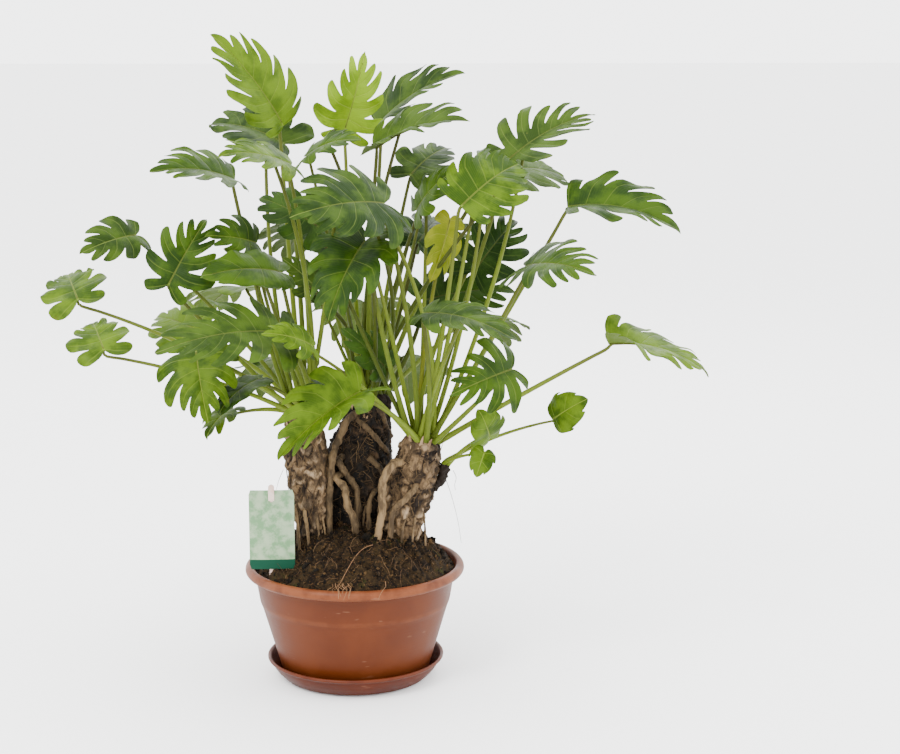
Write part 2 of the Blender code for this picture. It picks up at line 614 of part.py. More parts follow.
def crown_slots(crown):
    """Where each leaf of a crown leaves it: upright stalks in the middle, low ones outside."""
    top, ahead = crown_frame(crown)
    right = unit(np.cross((0.0, 1.0, 0.0), ahead))
    back = np.cross(ahead, right)
    leaves = [leaf for leaf in LEAVES if leaf.crown == crown]
    ways = {leaf.name: unit(sighted(*leaf.joint) - top) for leaf in leaves}
    leaves.sort(key=lambda leaf: -float(np.dot(ways[leaf.name], ahead)))
    slots = {}
    for places, ring in OFFSHOOT_RINGS if crown == "offshoot" else CROWN_RINGS:
        group = leaves[:places]
        leaves = leaves[places:]
        turns = [math.atan2(np.dot(ways[leaf.name], back), np.dot(ways[leaf.name], right)) for leaf in group]
        if ring > 0 and len(group) > 1:
            turns = spread(turns, min(SLOT_SPACING / ring, math.tau / len(group) * 0.98))
        for leaf, turn in zip(group, turns):
            out = math.cos(turn) * right + math.sin(turn) * back
            slots[leaf.name] = (top + out * ring, ahead, out * ring / CROWN_REACH)
    return slots


def stalk_rings(leaf, slot, blade):
    """The rings of points round a stalk, from under the blade's joint down into the crown.

    The stalk comes up into the blade squarely, through a short bend below the joint that never
    turns back on itself.
    """
    place, ahead, lean = slot
    foot = place + ahead * SLOT_RISE
    way = unit(blade.start - foot)
    under = blade.start - unit(blade.up - min(0.0, float(np.dot(blade.up, way))) * way) * STALK_BEND
    reach = np.linalg.norm(under - foot)
    direct, upright, outward = STALK_LEAVE
    leave = unit(direct * unit(under - foot) + upright * ahead + outward * lean)
    middle = foot + leave * reach * 0.5 + np.array(leaf.bow) * CM
    share = np.linspace(0.0, 1.0, STALK_RINGS)[:, None]
    line = foot * (1 - share) ** 2 + 2 * middle * share * (1 - share) + under * share ** 2
    line = np.vstack([place - ahead * STALK_DEPTH, line, blade.start - blade.up * COLLAR_DROP])[::-1]
    size = min(1.0, blade.length / FULL_BLADE) ** 0.5
    radii = np.interp(np.linspace(1, 0, len(line)), (0, 0.5, 1), STALK_RADII) * size
    across, other = frames(line, blade.along)
    turns = STALK_TURNS[None, :, None]
    ring = np.cos(turns) * across[:, None, :] - np.sin(turns) * other[:, None, :]
    return line[:, None, :] + ring * radii[:, None, None], radii


class Blade:
    """The surface of one leaf's blade: its own length, arch and directions."""

    def __init__(self, leaf):
        """Work out the blade's directions from its joint, its tip and the way it faces."""
        self.leaf = leaf
        self.start = sighted(*leaf.joint)
        chord = sighted(*leaf.tip) - self.start
        self.along = unit(chord)
        self.arch = math.radians(leaf.arch)
        self.length = np.linalg.norm(chord) * (self.arch / 2) / math.sin(self.arch / 2)
        face = np.array(leaf.face)
        self.up = unit(face - self.along * np.dot(face, self.along))
        self.side = np.cross(self.up, self.along)

    def place(self, forward, out, lift):
        """A point from its distance along the midrib and out from it, and its lift off the blade."""
        leaf = self.leaf
        turn = self.arch * (forward / self.length - 0.5)
        radius = self.length / self.arch
        run = radius * (np.sin(turn) + math.sin(self.arch / 2))
        rise = radius * (np.cos(turn) - math.cos(self.arch / 2))
        cupped = np.clip(1.0 - forward / (CUP_END * self.length), 0.0, 1.0)
        fold = np.radians(leaf.fold + leaf.cup * cupped)
        raised = np.abs(out) * np.sin(fold) - leaf.droop * out ** 2 / self.length + lift
        normal = np.sin(turn)[..., None] * self.along + np.cos(turn)[..., None] * self.up
        return (
            self.start
            + run[..., None] * self.along
            + rise[..., None] * self.up
            + (out * np.cos(fold))[..., None] * self.side
            + raised[..., None] * normal
        )

    def outline(self):
        """The edge of one half, from the joint to the tip: distances along the midrib and out."""
        leaf = self.leaf
        pitch = 1.0 / (leaf.fingers - 0.5)
        steps = [0.0]
        for finger in range(leaf.fingers):
            steps += [(finger + side) * pitch for side in FINGER_SIDES]
        steps = np.array([step for step in steps if step < 0.999] + [1.0])
        offset = steps / pitch
        standing = np.where(np.abs(offset - np.rint(offset)) < 0.01, 0.0, FINGER_STAND)
        standing[-1] = 1.0
        reach = np.interp(steps, *FINGER_REACH) * self.length * (1.0 - leaf.cut * (1.0 - standing))
        turned = 1.0 - (1.0 - leaf.base) * (1.0 - steps) ** 2
        curl = FINGER_CURL * standing * np.sin(math.pi * steps)
        turn = np.radians(np.interp(steps, *FINGER_WAY)) * turned - curl
        start = VEIN_END * np.maximum(0.0, steps - VEIN_START) / (1.0 - VEIN_START) * self.length
        width = leaf.width + (1.0 - leaf.width) * steps ** 2
        return start + reach * np.cos(turn) * width, reach * np.sin(turn) * width

    def wave(self, forward, out):
        """The lift of the surface: fingers that rise and fall a little."""
        share = np.abs(out) / self.length
        phase = forward / self.length * WAVE_TURNS + np.sign(out) * WAVE_SHIFT
        return WAVE_HEIGHT * self.length * share * np.sin(phase)


def plan_faces(along, across, edge):
    """The triangles of a blade's upper side, split in its flat plan with the midrib kept as edges.

    Points are numbered midrib first, then the tip, then the edge of each half from the joint on.
    """
    first = RIBS + 1
    halves = [list(range(first + half * edge, first + (half + 1) * edge)) + [RIBS] for half in (0, 1)]
    corners = [Vector(place) for place in zip(along, across)]
    rim = [0] + halves[0] + halves[1][-2::-1]
    lines = list(zip(rim, rim[1:] + rim[:1])) + [(rib, rib + 1) for rib in range(RIBS)]
    flat = delaunay_2d_cdt(corners, lines, [], INSIDE_ONLY, PLAN_PRECISION)
    numbers = [sources[0] for sources in flat[3]]
    return [tuple(numbers[corner] for corner in face) for face in flat[2]], halves


def round_joint(faces, start):
    """The points next to the joint, from the last one back to the given start."""
    following = {}
    for face in faces:
        if 0 in face:
            turn = face.index(0)
            following[face[(turn + 1) % 3]] = face[(turn + 2) % 3]
    chain = [start]
    while chain[-1] in following:
        chain.append(following[chain[-1]])
    return chain[::-1]


def collar_faces(loop, angles, first):
    """The triangles between the open loop round the joint and the first ring of the stalk."""
    nearest = [int(np.argmin(np.abs(STALK_TURNS - angle))) for angle in angles] + [STALK_SIDES - 1] * 2 + [0]
    faces = []
    for index, corner in enumerate(loop):
        following = loop[(index + 1) % len(loop)]
        ring = nearest[index]
        target = nearest[(index + 1) % len(loop)]
        faces.append((first + ring, following, corner))
        while ring != target:
            after = (ring + 1) % STALK_SIDES
            faces.append((first + ring, first + after, following))
            ring = after
    return faces


def make_leaf(leaf, slot, material):
    """A leaf as one closed solid: a thin blade, split into triangles alike on both faces, and its stalk.

    On the lower face the triangles that would meet at the joint end on the stalk's first ring.
    """
    blade = Blade(leaf)
    forward, out = blade.outline()
    spine = np.linspace(0.0, VEIN_END, RIBS) * blade.length
    edge = len(forward) - 1
    count = RIBS + 1 + 2 * edge
    along = np.concatenate([spine, [blade.length], forward[:-1], forward[:-1]])
    across = np.concatenate([np.zeros(RIBS + 1), out[:-1], -out[:-1]])
    lift = blade.wave(along, across)
    top = blade.place(along, across, lift)
    low = blade.place(along, across, lift - BLADE_THICKNESS)
    upper, halves = plan_faces(along, across, edge)
    faces = upper + [tuple(count + corner for corner in face[::-1]) for face in upper if 0 not in face]
    border = halves[0] + halves[1][-2::-1]
    for here, following in zip(border, border[1:]):
        faces.append((here, here + count, following))
        faces.append((following, here + count, following + count))
    under = round_joint(upper, halves[1][0])
    angles = [math.atan2(across[corner], along[corner]) for corner in under]
    loop = [count + corner for corner in under] + [halves[1][0], 0, halves[0][0]]
    first = 2 * count
    faces += collar_faces(loop, angles, first)
    rings, _ = stalk_rings(leaf, slot, blade)
    faces += loft_faces(len(rings), STALK_SIDES, first)
    end = first + (len(rings) - 1) * STALK_SIDES
    faces.append(tuple(end + side for side in range(STALK_SIDES)))
    points = np.vstack([top, low, rings.reshape(-1, 3)])
    return add_object(leaf.name, points, faces, material)


def socket(leaf, slot):
    """What a leaf's stalk cuts out of its crown."""
    rings, radii = stalk_rings(leaf, slot, Blade(leaf))
    ahead = slot[1]
    wider = []
    middle = rings[-1].mean(axis=0)
    ring = middle + (rings[-1] - middle) * (radii[-1] + HOLE_GAP) / radii[-1]
    for lift in (-HOLE_GAP, STALK_DEPTH + SOCKET_RISE):
        wider.append(ring + ahead * lift)
    faces = loft_faces(2, STALK_SIDES)
    faces += [tuple(range(STALK_SIDES)), tuple(range(STALK_SIDES, 2 * STALK_SIDES))]
    return add_object(leaf.name + "_socket", np.vstack(wider), faces)


def make_trunk(trunk, material, slots):
    """A trunk with its aerial roots, and a socket for each stalk."""
    body = trunk_tube(trunk, 0.0, material)
    roots = [root_tube(f"{trunk.name}_root_{index}", *root, 0.0) for index, root in enumerate(trunk.roots)]
    combine(body, roots, "UNION")
    crown = trunk.name.removeprefix("trunk_")
    crowns = (crown, "offshoot") if crown == "right" else (crown,)
    sockets = [socket(leaf, slots[leaf.name]) for leaf in LEAVES if leaf.crown in crowns]
    combine(body, sockets, "DIFFERENCE")
    return body


def soil_cutters():
    """Everything that stands in the soil, a little thicker."""
    cutters = []
    for trunk in TRUNKS:
        cutters.append(trunk_tube(trunk, ROUGH_GAP))
        for index, (places, width) in enumerate(trunk.roots):
            if places[-1][1] < SOIL_ROOT_END:
                cutters.append(root_tube(f"hole_{trunk.name}_{index}", places, width, HOLE_GAP))
    cutters.append(slab("hole_stake", stake_centre(), STAKE_SIZE, extra=SEAT_GAP))
    return cutters


def stake_centre():
    """The middle of the tag's stake, which lies close behind the card."""
    middle, foot, back = TAG_PLACE
    depth = TAG_THICKNESS / 2 + STAKE_SIZE[1] / 2 + SEAT_GAP
    top = foot + TAG_SIZE[1] + STAKE_RISE
    return middle, back + depth, top - STAKE_SIZE[2] / 2


def make_tag(paper, plastic):
    """The plant's tag: a blank card held up by a flat stake that stands in the soil behind it."""
    middle, foot, back = TAG_PLACE
    width, height = TAG_SIZE
    slab("tag_card", (middle, back, foot + height / 2), (width, TAG_THICKNESS, height), paper)
    slab("tag_stake", stake_centre(), STAKE_SIZE, plastic)


def slab(name, centre, size, material=None, extra=0.0):
    """A flat box with slightly rounded upright edges; extra makes it larger all round."""
    shell = bmesh.new()
    bmesh.ops.create_cube(shell, size=1.0)
    bmesh.ops.scale(shell, vec=[side + 2 * extra for side in size], verts=shell.verts)
    upright = [edge for edge in shell.edges if abs((edge.verts[0].co - edge.verts[1].co).y) > 0.5 * size[1]]
    bmesh.ops.bevel(shell, geom=upright, offset=SLAB_CORNER, segments=2, affect="EDGES", profile=0.5)
    bmesh.ops.translate(shell, vec=centre, verts=shell.verts)
    mesh = bpy.data.meshes.new(name)
    shell.to_mesh(mesh)
    shell.free()
    body = bpy.data.objects.new(name, mesh)
    bpy.context.scene.collection.objects.link(body)
    if material:
        mesh.materials.append(material)
    return body


def make_all():
    """Build the plant, its pot and its saucer."""
    clear_scene()
    clay = finish("terracotta_plastic", (0.290, 0.095, 0.040), 0.45)
    earth = finish("potting_soil", (0.062, 0.034, 0.014), 0.95)
    barks = {
        "bark": finish("trunk_bark", (0.210, 0.140, 0.075), 0.85),
        "dark_bark": finish("dark_trunk_bark", (0.075, 0.045, 0.020), 0.9),
    }
    greens = {tone: finish("leaf_" + tone, colour, 0.45) for tone, colour in TONES.items()}
    make_saucer(clay)
    make_pot(clay)
    slots = {}
    for crown in ("left", "middle", "right", "offshoot"):
        slots.update(crown_slots(crown))
    for trunk in TRUNKS:
        make_trunk(trunk, barks[trunk.tone], slots)
    make_soil(earth, soil_cutters())
    paper = finish("tag_paper", (0.55, 0.68, 0.50), 0.55)
    make_tag(paper, finish("stake_plastic", (0.80, 0.66, 0.60), 0.4))
    for leaf in LEAVES:
        make_leaf(leaf, slots[leaf.name], greens[leaf.tone])


make_all()
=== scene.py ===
"""A potted philodendron in a terracotta plastic bowl pot, dressed over its CAD frame.

World frame: metres, +Z up, +X to the right, -Y towards the camera, origin under the saucer.
Leaves, trunks, soil, pot, saucer and tag are surfaces worked out with numpy on grids, each in
the place and size of the solid that it stands for.
"""

import logging
import math
from dataclasses import dataclass, field
from enum import Enum

import bpy
import numpy as np
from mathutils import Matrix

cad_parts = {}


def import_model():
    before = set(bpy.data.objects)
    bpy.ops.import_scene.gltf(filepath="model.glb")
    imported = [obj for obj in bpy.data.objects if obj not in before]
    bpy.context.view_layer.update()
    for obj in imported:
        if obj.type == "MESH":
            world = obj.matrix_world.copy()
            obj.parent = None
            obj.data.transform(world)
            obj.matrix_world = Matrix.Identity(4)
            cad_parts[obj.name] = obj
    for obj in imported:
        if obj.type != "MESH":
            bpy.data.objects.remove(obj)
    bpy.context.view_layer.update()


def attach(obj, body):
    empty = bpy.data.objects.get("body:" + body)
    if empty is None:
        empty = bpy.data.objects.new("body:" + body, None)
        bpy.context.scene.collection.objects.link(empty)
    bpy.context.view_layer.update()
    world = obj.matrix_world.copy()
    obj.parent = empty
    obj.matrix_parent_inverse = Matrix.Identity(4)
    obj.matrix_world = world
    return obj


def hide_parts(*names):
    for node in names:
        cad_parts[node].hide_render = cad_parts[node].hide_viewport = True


LOG = logging.getLogger("philodendron")

MM = 0.001
CM = 0.01
TRIANGLE = -1
GOLDEN_TURN = math.radians(137.5)
FRAME_LEAN = (0.31, 0.89, 0.33)

Colour = tuple[float, float, float]
Place = tuple[float, float, float]


class Slot(Enum):
    """The material slots of the record."""

    CLAY = "terracotta_plastic"
    SOIL = "potting_soil"
    BARK = "trunk_bark"
    DARK_BARK = "dark_trunk_bark"
    PAPER = "tag_paper"
    STAKE = "stake_plastic"
    MID = "leaf_mid"
    FRESH = "leaf_fresh"
    YOUNG = "leaf_young"
    DARK = "leaf_dark"
    GREY = "leaf_grey"
    OLD = "leaf_old"


class Crown(Enum):
    """The places that leaves grow from."""

    LEFT = "left"
    MIDDLE = "middle"
    RIGHT = "right"
    OFFSHOOT = "offshoot"


@dataclass(frozen=True)
class LeafForm:
    """One leaf: where its stalk meets the blade, where the blade ends, and how it hangs.

    joint and tip are (across, up, back) in centimetres as seen from the front, face is the
    way the upper side looks, and fingers counts the lobes of each half.
    """

    name: str
    crown: Crown
    joint: Place
    tip: Place
    face: Place = (0.0, -0.8, 0.6)
    tone: Slot = Slot.MID
    fingers: int = 6
    cut: float = 0.55
    width: float = 1.0
    arch: float = 40.0
    fold: float = 8.0
    droop: float = 0.35
    base: float = 1.0
    cup: float = 0.0
    bow: Place = (0.0, 0.0, 0.0)


@dataclass(frozen=True)
class RootForm:
    """One aerial root: the points of its middle line (across, up, back, in cm) and its width in mm.

    dark runs from 0 for a live tan root to 1 for the black, rugged offshoot.
    """

    places: tuple[Place, ...]
    width: float
    dark: float = 0.1


@dataclass(frozen=True)
class TrunkForm:
    """One trunk: its middle line from deep in the soil to the crown, with a radius at each point."""

    name: str
    line: tuple[Place, ...]
    radii: tuple[float, ...]
    slot: Slot
    roots: tuple[RootForm, ...] = ()


LEFT, MIDDLE, RIGHT, OFFSHOOT = Crown.LEFT, Crown.MIDDLE, Crown.RIGHT, Crown.OFFSHOOT
MID, FRESH, YOUNG, DARK, GREY, OLD = Slot.MID, Slot.FRESH, Slot.YOUNG, Slot.DARK, Slot.GREY, Slot.OLD

LEAVES = (
    LeafForm("leaf_top_left", LEFT, (-8.8, 75.3, 3), (-18.0, 87.3, 1), (0.9, -1.0, 0.5), FRESH, 7,
             arch=30, fold=16, base=0.6),
    LeafForm("leaf_top_young", MIDDLE, (-0.8, 74.8, 8), (2.0, 85.0, 5), (0.2, -1.0, 0.25), YOUNG, 6,
             cut=0.6, fold=20),
    LeafForm("leaf_top_behind", MIDDLE, (3.6, 75.5, 16), (15.0, 82.3, 14), (-0.3, -0.4, 0.9), GREY, 6,
             fold=22, base=0.65),
    LeafForm("leaf_top_centre", MIDDLE, (3.0, 72.3, 1), (15.7, 76.0, -5), (0.0, -0.4, 0.9), GREY, 6,
             fold=24, base=0.65),
    LeafForm("leaf_upper_left_back", LEFT, (-8.7, 73.0, 10), (-18.5, 75.5, 18), (0.0, -0.5, 0.85), GREY,
             5, fold=24),
    LeafForm("leaf_upper_left", LEFT, (-15.3, 68.3, -3), (-26.4, 69.4, -9), (0.0, -0.5, 0.85), MID, 6,
             fold=18, base=0.7, bow=(0.0, 3.0, 0.0)),
    LeafForm("leaf_upper_inner", LEFT, (-7.8, 70.2, -10), (-17.5, 71.6, -16), (0.0, -0.5, 0.85), FRESH, 6,
             base=0.8),
    LeafForm("leaf_upper_centre", MIDDLE, (-5.9, 71.4, -2), (1.2, 73.6, -7), (0.1, -0.55, 0.8), MID, 5),
    LeafForm("leaf_front_centre", RIGHT, (4.4, 65.1, -14), (-8.2, 63.3, -22), (-0.1, -0.8, 0.6), GREY, 7,
             cut=0.5, width=1.1, bow=(2.0, 0.0, 0.0)),
    LeafForm("leaf_centre_hanging", RIGHT, (1.8, 60.2, -13.4), (-3.4, 49.3, -20), (-0.4, -0.9, 0.4), MID,
             6, cut=0.42, width=1.1, fold=16),
    LeafForm("leaf_upper_right_front", RIGHT, (14.5, 64.6, -9), (22.5, 70.2, 0), (-0.1, -1.0, 0.5), FRESH,
             7, cut=0.42, arch=60, base=0.65),
    LeafForm("leaf_upper_right", RIGHT, (20.8, 70.8, 3), (32.3, 76.8, 8), (-0.4, -0.6, 0.6), GREY, 7,
             cut=0.75, fold=20, base=0.8),
    LeafForm("leaf_upper_right_back", MIDDLE, (18.5, 69.0, 9), (28.5, 68.3, 18), (0.1, -0.5, 0.9), GREY,
             6, bow=(-1.0, 2.5, 4.0)),
    LeafForm("leaf_far_right", RIGHT, (28.7, 64.5, 0), (44.2, 60.9, -1), (0.0, -0.42, 0.9), MID, 6,
             arch=55, fold=25, base=0.6),
    LeafForm("leaf_right", RIGHT, (23.1, 56.6, -4), (32.8, 55.3, -14), (0.1, -0.8, 0.7), MID, 7,
             cut=0.65),
    LeafForm("leaf_right_back", RIGHT, (16.4, 56.0, 4.0), (22.0, 63.0, 12), (0.0, -0.9, 0.5), DARK, 6,
             cut=0.65),
    LeafForm("leaf_low_far_right", RIGHT, (34.5, 46.0, -4), (48.5, 41.5, -5), (0.0, -0.17, 1.0), FRESH, 6,
             arch=50, fold=10, base=0.65, cup=40),
    LeafForm("leaf_offshoot_right", OFFSHOOT, (27.0, 35.5, -3), (31.8, 38.4, -6), (-0.3, -1.0, 0.4),
             FRESH, 3, cut=0.18, width=1.1, base=0.6),
    LeafForm("leaf_offshoot_upper", OFFSHOOT, (18.5, 33.0, -4), (17.0, 37.0, -7), (0.2, -1.0, 0.3), FRESH,
             3, cut=0.25, width=1.2, bow=(0.0, 0.0, 0.8)),
    LeafForm("leaf_offshoot_lower", OFFSHOOT, (17.8, 31.2, -8), (16.6, 27.6, -10), (0.0, -1.0, 0.4),
             FRESH, 3, cut=0.2, width=1.1),
    LeafForm("leaf_low_right_star", RIGHT, (21.5, 42.6, -12), (12.9, 39.0, -17), (0.0, -1.0, 0.35), MID,
             6, cut=0.7, width=1.15),
    LeafForm("leaf_low_right_pale", RIGHT, (9.5, 50.4, -14), (22.3, 46.3, -20), (0.1, -0.35, 0.95), GREY,
             6, width=0.8, base=0.8),
    LeafForm("leaf_old", RIGHT, (13.1, 63.1, -2), (10.4, 54.4, -5), (0.3, -1.0, 0.3), OLD, 4, width=0.6,
             bow=(0.0, 2.0, 0.0)),
    LeafForm("leaf_far_left_upper", LEFT, (-28.4, 61.1, 2), (-36.0, 58.6, -3), (-0.3, -1.0, 0.4), GREY,
             5),
    LeafForm("leaf_left_spiky", LEFT, (-24.4, 54.4, -3), (-19.0, 63.4, 2), (0.0, -1.0, 0.3), MID, 6,
             cut=0.68),
    LeafForm("leaf_left_inner", LEFT, (-12.6, 59.9, -3), (-19.4, 60.9, -8), (0.0, -0.9, 0.5), MID, 5,
             fold=16, base=0.8),
    LeafForm("leaf_left_smooth", LEFT, (-9.3, 56.0, -8), (-20.2, 55.4, -13), (0.0, -0.6, 0.8), MID, 4,
             cut=0.12, width=0.75, bow=(0.0, 2.5, 0.0)),
    LeafForm("leaf_far_left", LEFT, (-36.4, 52.5, -2), (-37.6, 56.0, 7), (-0.2, -0.6, 0.9), FRESH, 5,
             width=1.15),
    LeafForm("leaf_far_left_lower", LEFT, (-33.2, 45.7, -10), (-34.6, 49.5, -2), (-0.1, -0.6, 0.9), FRESH,
             5, width=1.15),
    LeafForm("leaf_left_back", LEFT, (-19.7, 47.6, 6), (-26.3, 50.0, 15), (0.0, -0.8, 0.7), FRESH, 5),
    LeafForm("leaf_left_hanging", LEFT, (-21.0, 45.6, -8), (-19.6, 35.6, -14), (-0.1, -1.0, 0.4), FRESH,
             6, width=1.25),
    LeafForm("leaf_left_large", LEFT, (-9.0, 47.8, -14), (-26.5, 45.2, -22), (0.0, -0.6, 0.8), GREY, 7,
             cut=0.68, width=0.9),
    LeafForm("leaf_left_low", LEFT, (-16.2, 37.6, -3), (-20.0, 33.5, -9), (-0.5, -0.8, 0.4), FRESH, 4,
             width=0.8),
    LeafForm("leaf_left_folded", LEFT, (-12.3, 41.7, -7), (-18.3, 36.9, -13), (-0.4, -0.6, 0.7), MID, 4,
             cut=0.08, width=0.6),
    LeafForm("leaf_front_low", RIGHT, (0.9, 39.7, -13), (-10.3, 30.3, -20), (-0.42, -0.77, 0.48), FRESH,
             6, fold=36, base=0.9),
    LeafForm("leaf_small_low", LEFT, (-3.8, 40.3, -8), (-7.4, 37.6, -12), (-0.2, -0.9, 0.4), MID, 4,
             width=0.9),
    LeafForm("leaf_inner_left", MIDDLE, (-4.6, 53.6, 1), (-9.3, 57.9, 0), (0.0, -0.9, 0.5), GREY, 5),
    LeafForm("leaf_inner_top", MIDDLE, (-0.9, 59.6, 2), (-6.0, 63.3, 9), (0.0, -0.9, 0.5), DARK, 5),
    LeafForm("leaf_inner_low", MIDDLE, (4.3, 43.0, -1.5), (-1.5, 48.5, -3), (0.2, -0.9, 0.4), DARK, 4,
             width=0.8),
    LeafForm("leaf_inner_right_top", MIDDLE, (7.8, 68.8, 4), (13.0, 72.4, 13), (0.1, -0.5, 0.9), GREY, 5,
             width=0.85, bow=(-1.0, 0.0, 0.0)),
    LeafForm("leaf_inner_right", MIDDLE, (8.8, 59.8, 8), (11.6, 63.0, 17), (0.0, -0.9, 0.5), DARK, 5),
    LeafForm("leaf_right_inner_dark", MIDDLE, (9.7, 52.1, 10), (22.1, 53.4, 11), (0.0, -0.8, 0.7), DARK,
             6, cut=0.65),
    LeafForm("leaf_inner_left_top", RIGHT, (-4.4, 62.0, -5.0), (-12.4, 66.0, -1), (0.0, -0.8, 0.6), DARK,
             5, bow=(0.0, -6.5, 0.0)),
    LeafForm("leaf_inner_right_middle", MIDDLE, (8.6, 64.2, 0), (14.0, 69.6, -3), (0.0, -0.6, 0.8), MID,
             5),
    LeafForm("leaf_low_centre", RIGHT, (-5.4, 46.0, -17), (-12.2, 47.8, -21), (0.0, -0.7, 0.7), FRESH, 5,
             width=0.8, bow=(0.0, 1.5, 0.0)),
    LeafForm("leaf_back_upper_left", MIDDLE, (-5.0, 62.0, 19), (-9.0, 57.5, 33), (-0.1, 0.5, 0.9), MID,
             6),
    LeafForm("leaf_back_upper_right", MIDDLE, (8.0, 62.0, 22), (13.0, 56.0, 36), (0.1, 0.5, 0.9), MID, 6),
    LeafForm("leaf_back_left", LEFT, (-14.0, 54.0, 17), (-20.0, 50.0, 30), (-0.3, 0.5, 0.8), FRESH, 6),
    LeafForm("leaf_back_right", MIDDLE, (15.0, 50.0, 20), (21.0, 45.5, 33), (0.3, 0.5, 0.8), MID, 6),
    LeafForm("leaf_back_middle", MIDDLE, (1.5, 52.0, 24), (1.0, 44.5, 38), (0.0, 0.6, 0.8), FRESH, 6),
    LeafForm("leaf_back_low_left", LEFT, (-9.0, 44.5, 16), (-12.5, 39.0, 28), (-0.3, 0.7, 0.7), MID, 5),
    LeafForm("leaf_back_low_right", MIDDLE, (6.5, 44.5, 19), (7.5, 38.0, 31), (0.2, 0.7, 0.7), MID, 5),
)

TRUNKS = (
    TrunkForm(
        "trunk_left",
        ((-5.6, 15.5, -1.0), (-5.7, 18.5, -1.0), (-5.9, 22.0, -0.8), (-6.0, 27.0, -0.4), (-6.5, 32.5, 0.0),
         (-6.9, 37.0, 0.0)),
        (1.4, 1.6, 1.9, 2.7, 2.5, 2.2),
        Slot.BARK,
        (
            RootForm(((-7.2, 25.0, -1.5), (-8.0, 23.6, -2.6), (-7.8, 21.4, -3.1), (-7.5, 17.0, -3.4)), 4.5),
            RootForm(((-6.6, 24.5, -1.5), (-6.8, 23.0, -3.0), (-6.5, 21.0, -3.4), (-6.1, 17.0, -3.7)), 4.5),
            RootForm(((-5.2, 23.0, -2.6), (-5.0, 21.0, -3.2), (-4.8, 18.0, -3.6)), 3.0, 0.3),
            RootForm(((-4.4, 22.4, -2.2), (-4.1, 20.4, -2.9), (-3.9, 18.0, -3.2)), 2.6, 0.2),
        ),
    ),
    TrunkForm(
        "trunk_middle",
        ((0.3, 15.5, 4.2), (0.3, 18.5, 4.2), (0.2, 24.0, 4.2), (0.5, 29.0, 4.2), (1.6, 34.5, 4.2),
         (2.5, 39.0, 4.2)),
        (4.3, 4.6, 4.9, 4.6, 3.3, 2.4),
        Slot.DARK_BARK,
        (
            RootForm(((1.2, 37.0, 3.2), (-0.6, 36.0, 0.4), (-2.1, 33.0, -0.8), (-2.9, 30.6, -1.6),
                      (-3.2, 27.4, -2.1), (-3.4, 24.5, -2.3), (-3.5, 17.0, -2.6)), 9.0, 0.4),
            RootForm(((-0.6, 31.0, 2.4), (-2.0, 30.2, -0.8), (-1.0, 28.2, -1.4), (0.1, 26.6, -1.6),
                      (0.4, 24.5, -1.7), (0.2, 17.0, -1.9)), 8.0, 0.5),
            RootForm(((-1.2, 28.6, 1.6), (-2.4, 27.8, -1.8), (-1.3, 26.2, -2.6), (-0.9, 23.7, -3.1),
                      (0.0, 21.4, -3.6), (0.4, 17.0, -4.0)), 9.5),
            RootForm(((2.6, 26.5, 1.8), (2.7, 25.6, -1.2), (2.0, 23.8, -1.9), (1.9, 17.0, -2.6)), 6.5, 0.5),
            RootForm(((0.2, 36.4, 2.0), (1.8, 34.6, 0.6), (3.4, 32.8, 0.8), (4.7, 31.0, 2.2)), 7.0, 0.55),
            RootForm(((2.4, 38.4, 2.2), (3.8, 36.6, 1.6), (4.5, 34.6, 2.6)), 6.0, 0.6),
            RootForm(((2.0, 30.6, 0.0), (3.5, 29.0, -0.2), (4.6, 27.0, 1.2)), 7.5, 0.6),
            RootForm(((1.6, 23.8, -1.0), (1.2, 21.6, -1.6), (1.4, 18.0, -2.2)), 3.4, 0.4),
            RootForm(((3.2, 23.6, -0.6), (3.4, 21.4, -1.4), (3.0, 18.0, -2.0)), 3.0, 0.5),
        ),
    ),
    TrunkForm(
        "trunk_right",
        ((6.0, 15.5, -1.5), (6.2, 18.5, -1.5), (6.7, 22.5, -1.3), (7.9, 27.0, -1.0), (9.3, 32.5, -1.0)),
        (2.0, 2.3, 2.6, 3.0, 2.5),
        Slot.BARK,
        (
            RootForm(((7.5, 29.8, -1.8), (5.4, 29.6, -3.6), (4.1, 27.6, -4.4), (3.7, 25.3, -4.7),
                      (3.8, 23.0, -5.0), (3.3, 20.5, -5.2), (2.9, 17.0, -5.4)), 10.5),
            RootForm(((8.2, 27.2, -2.0), (8.2, 26.2, -4.3), (6.9, 24.6, -4.6), (5.4, 23.2, -4.7),
                      (4.9, 21.0, -4.8), (5.0, 17.0, -4.9)), 8.0, 0.4),
            RootForm(((9.0, 26.2, -1.0), (11.2, 26.7, -1.2), (12.0, 28.1, -1.2), (12.4, 29.5, -1.2)),
                     13.0, 1.0),
            RootForm(((8.4, 23.0, -3.4), (8.1, 20.8, -4.1), (7.8, 18.0, -4.6)), 3.0, 0.3),
            RootForm(((9.3, 23.2, -2.8), (9.6, 21.0, -3.6), (9.7, 18.0, -4.2)), 2.6, 0.2),
            RootForm(((7.2, 22.6, -3.8), (6.6, 20.6, -4.5), (6.3, 18.0, -5.0)), 3.2, 0.4),
        ),
    ),
)
OFFSHOOT_STUB = TRUNKS[2].roots[2]


def trunk_of(crown: Crown) -> TrunkForm:
    """Give the trunk that carries a crown."""
    return next(form for form in TRUNKS if form.name == "trunk_" + crown.value)


